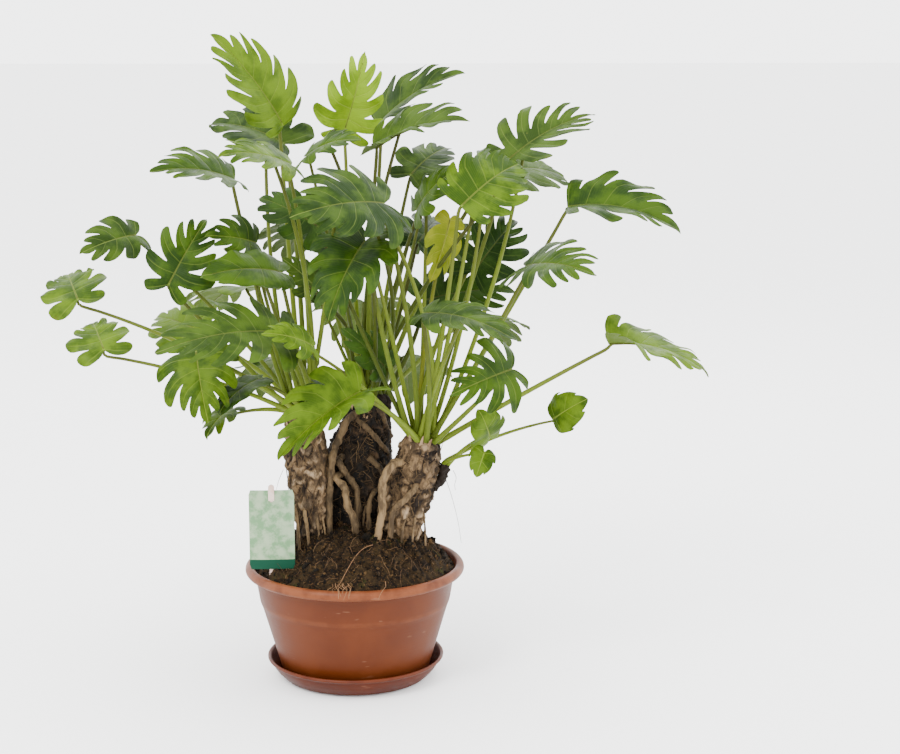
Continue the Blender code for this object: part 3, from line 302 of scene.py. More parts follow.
@dataclass(frozen=True)
class View:
    """The place that the plant is looked at from, and how points are given from there."""

    distance: float = 2.5
    height: float = 0.886
    tilt: float = 10.64
    turn: float = -2.99
    lens: float = 75.4
    sensor: float = 36.0

    def point(self, place: Place) -> np.ndarray:
        """Work out the point that is seen at a place.

        The ray from the eye through (across, 0, up) is followed to the depth (distance + back).

        Args:
            place: across and up in the plane through the pot's middle, and how far behind it, in cm.

        Returns:
            The point in metres.
        """
        across, up, back = place
        eye = np.array([0.0, -self.distance, self.height])
        seen = np.array([across * CM, 0.0, up * CM])
        return eye + (seen - eye) * (self.distance + back * CM) / self.distance

    def line(self, places: tuple[Place, ...]) -> np.ndarray:
        """Give the points of several places, one row each."""
        return np.array([self.point(place) for place in places])


VIEW = View()


def unit(vector: np.ndarray) -> np.ndarray:
    """Give the vectors along the last axis at length 1."""
    return vector / np.linalg.norm(vector, axis=-1, keepdims=True)


def smooth_line(points: np.ndarray, count: int) -> np.ndarray:
    """Give points on a Catmull-Rom curve through the given ones, evenly spread in parameter.

    Args:
        points: one row for each point that the curve passes through.
        count: how many points to return.

    Returns:
        An array of count rows.
    """
    padded = np.vstack([2 * points[0] - points[1], points, 2 * points[-1] - points[-2]])
    places = np.linspace(0.0, len(points) - 1.0, count)
    span = np.minimum(places.astype(int), len(points) - 2)
    share = (places - span)[:, None]
    before, start, end, after = (padded[span + step] for step in range(4))
    return 0.5 * (
        2 * start
        + (end - before) * share
        + (2 * before - 5 * start + 4 * end - after) * share**2
        + (3 * start - before - 3 * end + after) * share**3
    )


def line_frames(line: np.ndarray) -> tuple[np.ndarray, np.ndarray]:
    """Give two directions square to a line at each point, carried along it without twist."""
    ahead = unit(np.gradient(line, axis=0))
    side = np.array(FRAME_LEAN)
    sides = []
    for direction in ahead:
        side = unit(side - direction * np.dot(side, direction))
        sides.append(side)
    across = np.array(sides)
    return across, np.cross(ahead, across)


def spread_out(shape: tuple[int, ...], *parts: float | np.ndarray) -> np.ndarray:
    """Stack numbers or arrays along a new last axis, each first spread out to the given shape."""
    return np.stack([np.broadcast_to(part, shape) for part in parts], axis=-1)


def arc_lengths(line: np.ndarray) -> np.ndarray:
    """Give the length of a line up to each of its points."""
    return np.concatenate([[0.0], np.cumsum(np.linalg.norm(np.diff(line, axis=0), axis=1))])


def ripples(points: np.ndarray, size: float, seed: int, count: int = 12) -> np.ndarray:
    """Give smooth bumps between about -1 and 1 at each point.

    height(p) = sum of sin(2 pi p.d / length + phase) / sqrt(count / 2), over count seeded
    directions d, with lengths from 0.7 to 1.5 times the given size.

    Args:
        points: the points, in metres along the last axis.
        size: the usual length of a bump, in metres.
        seed: picks one set of waves.
        count: how many waves are summed.

    Returns:
        One height for each point.
    """
    dice = np.random.default_rng(seed)
    ways = unit(dice.normal(size=(count, 3)))
    lengths = size * dice.uniform(0.7, 1.5, count)
    phases = dice.uniform(0.0, math.tau, count)
    waves = np.sin(points @ (ways * (math.tau / lengths)[:, None]).T + phases)
    return waves.sum(axis=-1) / math.sqrt(count / 2)


@dataclass
class Shell:
    """A closed surface: points, four-cornered faces (a triangle's last corner is -1) and marks."""

    points: np.ndarray
    faces: np.ndarray
    marks: dict[str, np.ndarray] = field(default_factory=dict)

    def outward(self) -> "Shell":
        """Turn the faces round where the enclosed volume comes out negative."""
        first, second, third = (self.points[self.faces[:, corner]] for corner in range(3))
        volume = np.einsum("ij,ij->", np.cross(first, second), third)
        square = self.faces[:, 3] != TRIANGLE
        last = self.points[self.faces[square, 3]]
        volume += np.einsum("ij,ij->", np.cross(first[square], third[square]), last)
        if volume < 0:
            turned = self.faces.copy()
            turned[square] = turned[square][:, ::-1]
            turned[~square, :3] = turned[~square, 2::-1]
            self.faces = turned
        return self

    def trimmed(self) -> "Shell":
        """Drop the points that no face uses."""
        used = np.unique(self.faces[self.faces != TRIANGLE])
        numbers = np.full(len(self.points) + 1, TRIANGLE)
        numbers[used] = np.arange(len(used))
        marks = {name: values[used] for name, values in self.marks.items()}
        return Shell(self.points[used], numbers[self.faces], marks)


def joined(shells: list[Shell]) -> Shell:
    """Put several shells with the same marks into one."""
    offset = 0
    faces = []
    for shell in shells:
        faces.append(np.where(shell.faces == TRIANGLE, TRIANGLE, shell.faces + offset))
        offset += len(shell.points)
    marks = {name: np.vstack([shell.marks[name] for shell in shells]) for name in shells[0].marks}
    return Shell(np.vstack([shell.points for shell in shells]), np.vstack(faces), marks)


def sheet_faces(index: np.ndarray) -> np.ndarray:
    """Give the faces between the rows and columns of a grid of point numbers.

    A face with a repeated corner becomes a triangle.
    """
    corners = (index[:-1, :-1], index[:-1, 1:], index[1:, 1:], index[1:, :-1])
    faces = np.stack(corners, axis=-1).reshape(-1, 4)
    same = faces == np.roll(faces, -1, axis=1)
    double = np.flatnonzero(same.any(axis=1))
    order = (np.argmax(same[double], axis=1)[:, None] + np.arange(1, 5)) % 4
    faces[double] = np.take_along_axis(faces[double], order, axis=1)
    faces[double, 3] = TRIANGLE
    return faces


def ringed_shell(rings: np.ndarray, marks: dict[str, np.ndarray] | None = None) -> Shell:
    """Close a stack of rings into a shell, with a middle point at each end.

    Args:
        rings: points with the axes ring, place round the ring, and x y z.
        marks: rows of numbers for each of these points, with the same first two axes.

    Returns:
        The shell, with its faces outwards.
    """
    rows, columns, _ = rings.shape
    index = np.arange(rows * columns).reshape(rows, columns)
    faces = [sheet_faces(np.hstack([index, index[:, :1]]))]
    for row, centre in ((index[0, ::-1], index.size), (index[-1], index.size + 1)):
        around = np.stack([row, np.roll(row, -1)], axis=1)
        faces.append(np.hstack([around, np.tile((centre, TRIANGLE), (columns, 1))]))

    def closed(values: np.ndarray) -> np.ndarray:
        """Give a grid's rows in a list, and after them the means of its first and last ring."""
        ends = (values[0].mean(axis=0), values[-1].mean(axis=0))
        return np.vstack([values.reshape(rows * columns, -1), *ends])

    kept = {name: closed(values) for name, values in (marks or {}).items()}
    return Shell(closed(rings), np.vstack(faces), kept).outward()


def tube_rings(line: np.ndarray, radii: np.ndarray, sides: int) -> np.ndarray:
    """Give rings round a line: point = line + radius * (cos t * across + sin t * other)."""
    across, other = line_frames(line)
    turns = np.arange(sides) * math.tau / sides
    ways = np.cos(turns)[:, None] * across[:, None, :] + np.sin(turns)[:, None] * other[:, None, :]
    return line[:, None, :] + ways * radii[:, None, None]


def strands(lines: np.ndarray, wide: np.ndarray, thick: np.ndarray, lean: np.ndarray | Place,
            shade: np.ndarray) -> Shell:
    """Make many thin four-sided strands at once.

    Each ring is line +- wide * across +- thick * normal, where across is square to the line
    and to the strand's own lean direction.

    Args:
        lines: points with the axes strand, place along it, and x y z.
        wide: half widths, strand by place.
        thick: half thicknesses, strand by place.
        lean: for each strand, or for all, the way that the flat side looks.
        shade: one value for each strand, kept as a mark.

    Returns:
        One shell of all strands.
    """
    count, rows, _ = lines.shape
    ahead = unit(np.gradient(lines, axis=1))
    across = unit(np.cross(ahead, np.reshape(lean, (-1, 1, 3))))
    sideways, upwards = across * wide[..., None], np.cross(across, ahead) * thick[..., None]
    ring = (sideways, upwards, -sideways, -upwards)
    points = np.stack([lines + out for out in ring], axis=2)
    sides = len(ring)
    index = np.arange(rows * sides).reshape(rows, sides)
    one = np.vstack([sheet_faces(np.hstack([index, index[:, :1]])), index[:1, ::-1], index[-1:]])
    faces = (one[None] + (np.arange(count) * rows * sides)[:, None, None]).reshape(-1, sides)
    marks = {"shade": np.repeat(shade, rows * sides)[:, None]}
    return Shell(points.reshape(-1, 3), faces, marks).outward()


def build(name: str, shell: Shell, material: bpy.types.Material,
          stands_for: tuple[str, ...] = (), crease: float = 40.0) -> None:
    """Make a finished piece of a shell, hang it on the root body, and hide the CAD nodes that it replaces.

    Args:
        name: the piece's own name.
        shell: its surface and marks.
        material: its finish.
        stands_for: the CAD nodes that it replaces.
        crease: edges sharper than this angle, in degrees, stay sharp.
    """
    square = shell.faces[:, 3] != TRIANGLE
    faces = shell.faces[square].tolist() + shell.faces[~square, :3].tolist()
    mesh = bpy.data.meshes.new(name)
    mesh.from_pydata(shell.points.tolist(), [], faces)
    for key, values in shell.marks.items():
        kind, part = ("FLOAT", "value") if values.shape[1] == 1 else ("FLOAT_VECTOR", "vector")
        mark = mesh.attributes.new(key, kind, "POINT")
        mark.data.foreach_set(part, values.astype(np.float32).ravel())
    mesh.shade_smooth()
    mesh.set_sharp_from_angle(angle=math.radians(crease))
    mesh.materials.append(material)
    piece = bpy.data.objects.new(name, mesh)
    bpy.context.scene.collection.objects.link(piece)
    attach(piece, "root")
    if stands_for:
        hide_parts(*stands_for)
    LOG.info("%s: %d faces", name, len(faces))


class Recipe:
    """Puts the nodes of one material together; a number or colour goes on the node's own socket."""

    def __init__(self, name: str) -> None:
        """Start a material with its shader."""
        self.material = bpy.data.materials.new(name)
        self.material.use_nodes = True
        self.tree = self.material.node_tree

    def feed(self, socket: bpy.types.NodeSocket, value: object) -> None:
        """Link a socket to another one, or set it to a number, a scale or a colour."""
        if isinstance(value, bpy.types.NodeSocket):
            self.tree.links.new(value, socket)
        else:
            socket.default_value = (*value, 1.0) if socket.type == "RGBA" else value

    def add(self, kind: str, **sockets: object) -> bpy.types.Node:
        """Add a node and feed its sockets, named with _ for a space."""
        node = self.tree.nodes.new("ShaderNode" + kind)
        for name, value in sockets.items():
            self.feed(node.inputs[name.replace("_", " ")], value)
        return node

    def read(self, name: str) -> bpy.types.Node:
        """Read a mark kept at the piece's points."""
        reader = self.add("Attribute")
        reader.attribute_name = name
        return reader

    def mark(self, name: str) -> list[bpy.types.NodeSocket]:
        """Read the three numbers of a mark."""
        return list(self.add("SeparateXYZ", Vector=self.read(name).outputs["Vector"]).outputs)

    def value(self, name: str) -> bpy.types.NodeSocket:
        """Read the single number of a mark."""
        return self.read(name).outputs["Fac"]

    def height(self) -> bpy.types.NodeSocket:
        """Read how high over the ground a point is."""
        return self.add("SeparateXYZ", Vector=self.add("TexCoord").outputs["Object"]).outputs["Z"]

    def noise(self, size: float, detail: float = 3.0, rough: float = 0.55,
              stretch: Place = (1.0, 1.0, 1.0)) -> bpy.types.NodeSocket:
        """Add a cloudy pattern on the piece's own coordinates.

        Args:
            size: the usual width of a patch, in metres.
            detail: how many finer sizes are added.
            rough: how strong the finer sizes are.
            stretch: what the coordinates are multiplied by; a small part draws patches out.

        Returns:
            The pattern, about 0 to 1 and mostly near 0.5.
        """
        scaled = self.add("Mapping", Vector=self.add("TexCoord").outputs["Object"], Scale=stretch)
        return self.add("TexNoise", Vector=scaled.outputs["Vector"], Scale=1.0 / size, Detail=detail,
                        Roughness=rough).outputs["Fac"]

    def math(self, kind: str, first: object, second: object = 0.0) -> bpy.types.NodeSocket:
        """Add a sum, product, sine and so on of one or two numbers."""
        step = self.add("Math")
        step.operation = kind
        self.feed(step.inputs[0], first)
        self.feed(step.inputs[1], second)
        return step.outputs[0]

    def times(self, first: object, second: object) -> bpy.types.NodeSocket:
        """Add a product."""
        return self.math("MULTIPLY", first, second)

    def plus(self, first: object, second: object) -> bpy.types.NodeSocket:
        """Add a sum."""
        return self.math("ADD", first, second)

    def band(self, value: object, low: float, high: float, start: float = 0.0,
             end: float = 1.0) -> bpy.types.NodeSocket:
        """Turn a value smoothly from start at low to end at high."""
        step = self.add("MapRange", Value=value, From_Min=low, From_Max=high, To_Min=start, To_Max=end)
        step.interpolation_type = "SMOOTHSTEP"
        return step.outputs["Result"]

    def mix(self, share: object, first: object, second: object) -> bpy.types.NodeSocket:
        """Mix two colours."""
        step = self.add("Mix")
        step.data_type = "RGBA"
        for place, value in ((0, share), (6, first), (7, second)):
            self.feed(step.inputs[place], value)
        return step.outputs[2]

    def bump(self, *layers: tuple[object, float]) -> bpy.types.NodeSocket:
        """Lay reliefs over each other, each a height from 0 to 1 and a depth in metres."""
        under = {}
        for height, depth in layers:
            under = {"Normal": self.add("Bump", Height=height, Distance=depth, **under).outputs["Normal"]}
        return under["Normal"]

    def finish(self, colour: object, rough: object, shine: float,
               relief: object = None) -> bpy.types.Material:
        """Feed the shader, and give the material.

        Args:
            colour: its base colour.
            rough: its roughness.
            shine: its specular level.
            relief: the normal that its bumps give, if it has any.

        Returns:
            The finished material.
        """
        sockets = {"Base Color": colour, "Roughness": rough, "Specular IOR Level": shine}
        if relief is not None:
            sockets["Normal"] = relief
        shader = self.tree.nodes["Principled BSDF"]
        for name, value in sockets.items():
            self.feed(shader.inputs[name], value)
        return self.material


@dataclass(frozen=True)
class LeafFinish:
    """The finish of a living leaf: both sides, its veins, its stalk and its gloss."""

    name: str
    light: Colour
    deep: Colour
    under: Colour
    vein: Colour
    stalk: Colour
    tip: Colour
    gloss: float = 0.4
    tip_share: float = 0.25
    stalk_foot: Colour = (0.049, 0.028, 0.0112)
    # painted shade: the darker colour of a stalk's upper part, under its blade
    painted_stalk_shade: Colour = (0.0315, 0.028, 0.0084)

    def material(self) -> bpy.types.Material:
        """Mottled green with pale veins, paler and duller underneath, on a stalk with painted shade towards
        the blade.

        Returns:
            The material. It reads the marks grain (mm from the midrib, mm from the nearest side
            vein, share of the way to the edge), kind (under side, stalk, share of the way up the
            stalk) and tint (shade of this leaf, lobe count).
        """
        recipe = Recipe(self.name)
        middle, vein, reach = recipe.mark("grain")
        under, stalk, up = recipe.mark("kind")
        shade, lobe, _ = recipe.mark("tint")
        tone = recipe.plus(recipe.band(recipe.noise(30 * MM, 4.0), 0.36, 0.64), shade)
        upper = recipe.mix(recipe.band(tone, 0.0, 1.6), self.deep, self.light)
        fine = recipe.math("SINE", recipe.times(lobe, 50.0))
        upper = recipe.mix(recipe.band(fine, 0.2, 1.0, 0.0, 0.16), upper, self.light)
        spots = recipe.band(recipe.noise(12 * MM, 2.0), 0.56, 0.72)
        # Brown worn spots near the lobe ends.
        edge_tone = recipe.times(recipe.band(reach, 0.80, 1.0), spots)
        upper = recipe.mix(recipe.times(edge_tone, self.tip_share), upper, self.tip)
        blade = recipe.mix(under, upper, self.under)
        side = recipe.times(recipe.band(vein, 0.1, 0.65, 0.5, 0.0),
                            recipe.band(reach, 0.55, 0.98, 1.0, 0.25))
        drawn = recipe.math("MAXIMUM", recipe.band(middle, 0.5, 1.5, 0.9, 0.0), side)
        blade = recipe.mix(drawn, blade, self.vein)
        streak = recipe.noise(5 * MM, 3.0, stretch=(1.0, 1.0, 0.12))
        bark = recipe.mix(recipe.band(up, 0.0, 0.06), self.stalk_foot, self.stalk)
        bark = recipe.mix(recipe.band(streak, 0.45, 0.75, 0.0, 0.5), bark, self.light)
        # Painted shade: the stalk darkens towards the blade, where the leaves above shade it.
        bark = recipe.mix(recipe.band(up, 0.45, 0.95, 0.0, 0.6), bark, self.painted_stalk_shade)
        relief = recipe.bump((recipe.math("SUBTRACT", 1.0, drawn), 0.35 * MM), (fine, 0.05 * MM),
                             (recipe.noise(2.2 * MM, 2.0), 0.12 * MM))
        rough = recipe.band(recipe.noise(9 * MM, 3.0), 0.3, 0.7, self.gloss, self.gloss + 0.14)
        rough = recipe.plus(rough, recipe.times(under, 0.18))
        return recipe.finish(recipe.mix(stalk, blade, bark), rough, 0.06, relief)


@dataclass(frozen=True)
class BarkFinish:
    """The finish of a trunk and of the roots on it: cork, pale leaf scars, dark cracks, grooves darkened
    partly with painted shade, and live roots.
    """

    name: str
    cork: Colour
    crack: Colour
    scar: Colour
    root: Colour

    def material(self) -> bpy.types.Material:
        """Fibrous cork, paler on the scars.

        Returns:
            The material. It reads the marks bark (scar, root, share of the way down a root) and
            shade (how dark the bark is there).
        """
        recipe = Recipe(self.name)
        scar, root, down = recipe.mark("bark")
        dark = recipe.value("shade")
        fibre = recipe.noise(6 * MM, 6.0, 0.7, stretch=(1.0, 1.0, 0.5))
        patch = recipe.noise(22 * MM, 4.0, 0.6)
        thread = recipe.noise(3 * MM, 3.0, 0.6, stretch=(1.0, 1.0, 0.16))
        streak = recipe.noise(9 * MM, 5.0, 0.65, (1.0, 1.0, 0.3))
        cork = recipe.mix(recipe.band(fibre, 0.36, 0.58, 0.3, 1.0), self.crack, self.cork)
        pale = recipe.times(recipe.band(scar, 0.25, 0.95), recipe.band(fibre, 0.40, 0.58, 0.25, 1.0))
        cork = recipe.mix(pale, cork, self.scar)
        skin = recipe.mix(recipe.band(streak, 0.38, 0.60, 0.7, 0.0), self.root, self.crack)
        # The mark shade darkens the cork: random dark patches, dark roots, and in the grooves between knobs
        # partly painted shade.
        for share in (recipe.band(thread, 0.54, 0.70, 0.0, 0.4), recipe.band(patch, 0.36, 0.52, 0.7, 0.0),
                      recipe.band(dark, 0.05, 0.9)):
            cork = recipe.mix(share, cork, self.crack)
        for share in (recipe.band(down, 0.8, 1.0, 0.0, 0.4), dark):
            skin = recipe.mix(share, skin, self.crack)
        relief = recipe.bump((fibre, 1.3 * MM), (patch, 1.6 * MM))
        return recipe.finish(recipe.mix(root, cork, skin), 0.82, 0.17, relief)


@dataclass(frozen=True)
class ShadedFinish:
    """A plain natural finish between two colours, picked by each strand's or crumb's own shade."""

    name: str
    dark: Colour
    light: Colour
    rough: float = 0.85

    def material(self) -> bpy.types.Material:
        """Mix both colours by the mark shade, with a little grain."""
        recipe = Recipe(self.name)
        tone = recipe.plus(recipe.value("shade"), recipe.band(recipe.noise(3 * MM), 0.3, 0.7, -0.2, 0.2))
        colour = recipe.mix(recipe.band(tone, 0.0, 1.0), self.dark, self.light)
        return recipe.finish(colour, self.rough, 0.14, recipe.bump((recipe.noise(1.2 * MM), 0.3 * MM)))


@dataclass(frozen=True)
class SoilFinish:
    """Peaty potting soil: dark clods, brown crumbs, reddish fibre between them and a little moss."""

    dark: Colour = (0.0028, 0.0014, 0.0007)
    brown: Colour = (0.021, 0.0126, 0.0049)
    red: Colour = (0.0497, 0.0252, 0.0091)
    moss: Colour = (0.0238, 0.0308, 0.0056)

    def material(self) -> bpy.types.Material:
        """Mix clods, crumbs and fibre at three sizes."""
        recipe = Recipe("potting_soil")
        clod = recipe.noise(13 * MM, 5.0, 0.65)
        crumb = recipe.noise(2.6 * MM, 4.0, 0.7)
        colour = recipe.mix(recipe.band(clod, 0.38, 0.64), self.dark, self.brown)
        colour = recipe.mix(recipe.band(crumb, 0.50, 0.72), colour, self.brown)
        fibre = recipe.band(recipe.noise(1.9 * MM, 2.0, 0.5, (0.35, 1.0, 1.0)), 0.62, 0.70)
        other = recipe.band(recipe.noise(2.1 * MM, 2.0, 0.5, (1.0, 0.3, 1.0)), 0.62, 0.70)
        colour = recipe.mix(recipe.times(recipe.math("MAXIMUM", fibre, other), 0.8), colour, self.red)
        colour = recipe.mix(recipe.band(recipe.noise(32 * MM), 0.60, 0.70, 0.0, 0.6), colour, self.moss)
        return recipe.finish(colour, 0.95, 0.1, recipe.bump((crumb, 1.8 * MM), (clod, 2.5 * MM)))


@dataclass(frozen=True)
class ClayFinish:
    """Moulded terracotta plastic: matt, with a painted highlight on its outer edges and faint scuffs."""

    name: str = "terracotta_plastic"
    body: Colour = (0.0707, 0.0154, 0.0028)
    deep: Colour = (0.0574, 0.0112, 0.0014)
    # The paler colour of the outer edges: a painted highlight.
    edge_tone: Colour = (0.154, 0.0455, 0.0154)
    scuff: Colour = (0.161, 0.070, 0.0385)

    def material(self) -> bpy.types.Material:
        """Blend body colour, painted highlights on the outer edges, and scuffs.

        Returns:
            The material. It reads the mark edge, 1 on the outer corners of the profile.
        """
        recipe = Recipe(self.name)
        cloud = recipe.noise(60 * MM, 3.0, 0.5)
        colour = recipe.mix(recipe.band(cloud, 0.35, 0.68), self.deep, self.body)
        # Painted highlight: the outer corners of the profile are paler, broken up in patches.
        patchy = recipe.band(recipe.noise(22 * MM), 0.25, 0.65)
        edge_highlight = recipe.times(recipe.band(recipe.value("edge"), 0.15, 1.0), patchy)
        colour = recipe.mix(recipe.times(edge_highlight, 0.6), colour, self.edge_tone)
        scratch = recipe.band(recipe.noise(5 * MM, 2.0, 0.5, (0.22, 0.22, 1.0)), 0.60, 0.68)
        scuff = recipe.times(scratch, recipe.band(recipe.noise(34 * MM, 2.0), 0.60, 0.70))
        colour = recipe.mix(recipe.times(scuff, 0.45), colour, self.scuff)
        ring = recipe.noise(2.4 * MM, 2.0, 0.4, (0.02, 0.02, 1.0))
        relief = recipe.bump((recipe.noise(0.9 * MM, 2.0), 0.06 * MM), (ring, 0.08 * MM))
        return recipe.finish(colour, recipe.band(cloud, 0.3, 0.7, 0.41, 0.54), 0.14, relief)


@dataclass(frozen=True)
class CardFinish:
    """The printed card: a mottled pale green field over a plain dark green foot band."""

    field_colour: Colour = (0.098, 0.189, 0.091)
    mottle: Colour = (0.217, 0.287, 0.182)
    band_colour: Colour = (0.0021, 0.035, 0.0182)
    band_top: float = 183 * MM
    edge: float = 0.4 * MM

    def material(self) -> bpy.types.Material:
        """Split the card by height into its foot band and its field."""
        recipe = Recipe("tag_paper")
        cloud = recipe.band(recipe.noise(14 * MM, 4.0, 0.6), 0.36, 0.62)
        above = recipe.band(recipe.height(), self.band_top - self.edge, self.band_top + self.edge)
        paper = recipe.mix(cloud, self.field_colour, self.mottle)
        relief = recipe.bump((recipe.noise(0.8 * MM, 2.0), 0.02 * MM))
        return recipe.finish(recipe.mix(above, self.band_colour, paper), 0.5, 0.08, relief)


@dataclass(frozen=True)
class PlainFinish:
    """A nearly even finish with a faint cloud in it, as on the stake and the studio paper."""

    name: str
    colour: Colour
    other: Colour
    rough: float
    size: float

    def material(self) -> bpy.types.Material:
        """Mix both colours in soft clouds."""
        recipe = Recipe(self.name)
        cloud = recipe.band(recipe.noise(self.size, 2.0), 0.35, 0.65)
        return recipe.finish(recipe.mix(cloud, self.colour, self.other), self.rough, 0.28)


@dataclass(frozen=True)
class BladeShape:
    """What all blades share, in blade lengths where nothing else is said."""

    vein_start: float = 0.08
    vein_end: float = 0.73
    reach: tuple[tuple[float, ...], ...] = ((0.0, 0.12, 0.3, 0.5, 0.7, 0.85, 1.0),
                                            (0.22, 0.35, 0.47, 0.46, 0.40, 0.32, 0.27))
    way: tuple[tuple[float, ...], ...] = ((0.0, 0.1, 0.28, 0.46, 0.64, 0.82, 0.92, 1.0),
                                          (150.0, 126.0, 96.0, 72.0, 53.0, 40.0, 26.0, 0.0))
    curl: float = math.radians(20)
    lobe_open: float = 0.97
    lobe_round: float = 3.0
    lobe_full: float = 0.78
    lobe_sharp: float = 4.0
    lobe_open_cut: float = 0.55
    lobe_lean: float = 1.3
    longest: float = 1.1
    uneven: float = 0.3
    cup_end: float = 0.35
    wave_height: float = 0.05
    wave_turns: float = 17.0
    wave_shift: float = 1.3
    thick: float = 0.8 * MM
    thin: float = 0.45 * MM
    furrow: float = 0.5 * MM
    furrow_width: float = 1.5 * MM
    channel: float = 1.5 * MM
    crinkle: float = 1.3 * MM
    crinkle_length: float = 30 * MM
    droop: float = 4.0 * MM
    twist: float = 2.5 * MM
    full_relief: float = 12 * CM
    lobe_steps: tuple[float, ...] = (
        0.0, 0.03, 0.036, 0.044, 0.058, 0.08, 0.115, 0.16, 0.22, 0.29, 0.36, 0.43, 0.5, 0.57, 0.64, 0.71,
        0.78, 0.84, 0.885, 0.92, 0.947, 0.966, 0.978, 0.985,
    )
    reach_steps: tuple[float, ...] = (0.0, 0.03, 0.08, 0.17, 0.30, 0.45, 0.60, 0.74, 0.86, 0.95, 1.0)

    def read(self, table: tuple[tuple[float, ...], ...], step: np.ndarray) -> np.ndarray:
        """Read a table without kinks: the mean of five straight-line readings close to each step."""
        room = 0.05 * np.minimum(1.0, np.minimum(step, 1.0 - step) / 0.1)
        return np.mean([np.interp(step + shift * room, *table) for shift in np.linspace(-1, 1, 5)], axis=0)


class Blade:
    """The surface of one leaf's blade, arched along its midrib and cut into lobes."""

    def __init__(self, form: LeafForm, shape: BladeShape, seed: int) -> None:
        """Work out the blade's directions from its joint, its tip and the way it faces."""
        self.form = form
        self.shape = shape
        self.seed = seed
        self.start = VIEW.point(form.joint)
        chord = VIEW.point(form.tip) - self.start
        self.along = unit(chord)
        self.arch = math.radians(form.arch)
        self.length = float(np.linalg.norm(chord)) * (self.arch / 2) / math.sin(self.arch / 2)
        face = np.array(form.face)
        self.up = unit(face - self.along * np.dot(face, self.along))
        self.side = np.cross(self.up, self.along)
        self.pitch = 1.0 / (form.fingers - 0.5)

    def place(self, forward: np.ndarray, out: np.ndarray, lift: np.ndarray) -> np.ndarray:
        """Give points of the blade.

        The midrib is an arc of the given arch over the chord; each half is folded up from it,
        droops with the square of the way out, and lift is added square to the arc.

        Args:
            forward: distance along the midrib.
            out: distance out from it, with its sign.
            lift: height off the blade.

        Returns:
            The points, with x y z as the last axis.
        """
        form = self.form
        turn = self.arch * (forward / self.length - 0.5)
        radius = self.length / self.arch
        run = radius * (np.sin(turn) + math.sin(self.arch / 2))
        rise = radius * (np.cos(turn) - math.cos(self.arch / 2))
        cupped = np.clip(1.0 - forward / (self.shape.cup_end * self.length), 0.0, 1.0)
        fold = np.radians(form.fold + form.cup * cupped)
        raised = np.abs(out) * np.sin(fold) - form.droop * out**2 / self.length + lift
        normal = np.sin(turn)[..., None] * self.along + np.cos(turn)[..., None] * self.up
        return (self.start + run[..., None] * self.along + rise[..., None] * self.up
                + (out * np.cos(fold))[..., None] * self.side + raised[..., None] * normal)

    def beyond(self, reach: np.ndarray) -> np.ndarray:
        """Give how far past the notches a reach is: 0 at them, 1 at the full reach."""
        return np.clip((reach - 1.0 + self.form.cut) / self.form.cut, 0.0, 1.0)

    def edge(self, step: np.ndarray, side: np.ndarray) -> np.ndarray:
        """Give the edge as a share of the full reach: most on a lobe's peak, least between lobes.

        share = 1 - cut * (1 - standing * size), standing = (1 - (apart / open) ^ round) ^ full,
        where apart runs from 0 at a lobe's peak, a little past its middle, to 1 between two
        lobes, full grows on deeply cut blades, and size differs from lobe to lobe.
        """
        shape = self.shape
        place = step / self.pitch % 1.0
        number = np.floor(step / self.pitch + 1e-9) + 7.0 * side
        apart = np.minimum(2.0 * np.abs(place**shape.lobe_lean - 0.5) / shape.lobe_open, 1.0)
        full = shape.lobe_full + shape.lobe_sharp * max(0.0, self.form.cut - shape.lobe_open_cut)
        standing = (1.0 - apart**shape.lobe_round) ** full
        size = shape.longest - shape.uneven * (0.5 + 0.5 * np.sin(number * 2.1 + self.seed))
        return 1.0 - self.form.cut * (1.0 - np.where(step >= 1.0, 1.0, standing * size))

    def plan(self, step: np.ndarray, reach: np.ndarray) -> tuple[np.ndarray, np.ndarray]:
        """Lay the blade out flat.

        A side vein leaves the midrib at vein_end * (step - start) / (1 - start) and runs in the
        direction of the way table; past the notches it curls towards the tip.

        Args:
            step: share of the way from the base of the blade to its tip.
            reach: share of the full reach.

        Returns:
            Distances along the midrib and out from it.
        """
        form, shape = self.form, self.shape
        start = shape.vein_end * np.maximum(0.0, step - shape.vein_start) / (1.0 - shape.vein_start)
        turned = 1.0 - (1.0 - form.base) * (1.0 - step) ** 2
        turn = np.radians(shape.read(shape.way, step)) * turned
        turn = turn - shape.curl * np.sin(math.pi * step) * self.beyond(reach)
        width = form.width + (1.0 - form.width) * step**2
        run = reach * shape.read(shape.reach, step) * self.length * width
        return start * self.length + run * np.cos(turn), run * np.sin(turn)

    def vein_gap(self, step: np.ndarray, reach: np.ndarray) -> np.ndarray:
        """Give the distance to the nearest side vein, in metres."""
        return np.abs(step / self.pitch % 1.0 - 0.5) * self.pitch * self.length * (0.7 + 0.35 * reach)

    def relief(self, step: np.ndarray, reach: np.ndarray, forward: np.ndarray,
               out: np.ndarray) -> np.ndarray:
        """Give the lift of the upper side.

        A long wave along the blade, a furrow over each vein, lobes channelled along their
        middles, a finer crinkle that grows towards the edge, and lobe ends that droop and twist
        unevenly.
        """
        shape = self.shape
        side = np.sign(out)
        phase = forward / self.length * shape.wave_turns + side * shape.wave_shift
        wave = shape.wave_height * np.abs(out) * np.sin(phase)
        spread = np.minimum(np.abs(out), self.vein_gap(step, reach))
        furrow = -shape.furrow * np.exp(-(spread / shape.furrow_width) ** 2)
        place = step / self.pitch % 1.0
        number = np.floor(step / self.pitch) + 7.0 * side
        channel = shape.channel * (2.0 * place - 1.0) ** 2 * reach
        flat = spread_out(step.shape, forward, out, self.seed * 0.37)
        crinkle = shape.crinkle * reach**2 * ripples(flat, shape.crinkle_length, self.seed, 8)
        drop = np.maximum(0.0, 2.0 * reach - 1.0) ** 2 * (0.5 + 0.5 * np.sin(number * 2.4 + self.seed))
        twist = shape.twist * self.beyond(reach) * (place - 0.5) * np.sin(number * 1.7 + self.seed)
        size = min(1.0, self.length / shape.full_relief)
        return wave + (furrow + channel + twist) * size + crinkle - shape.droop * drop

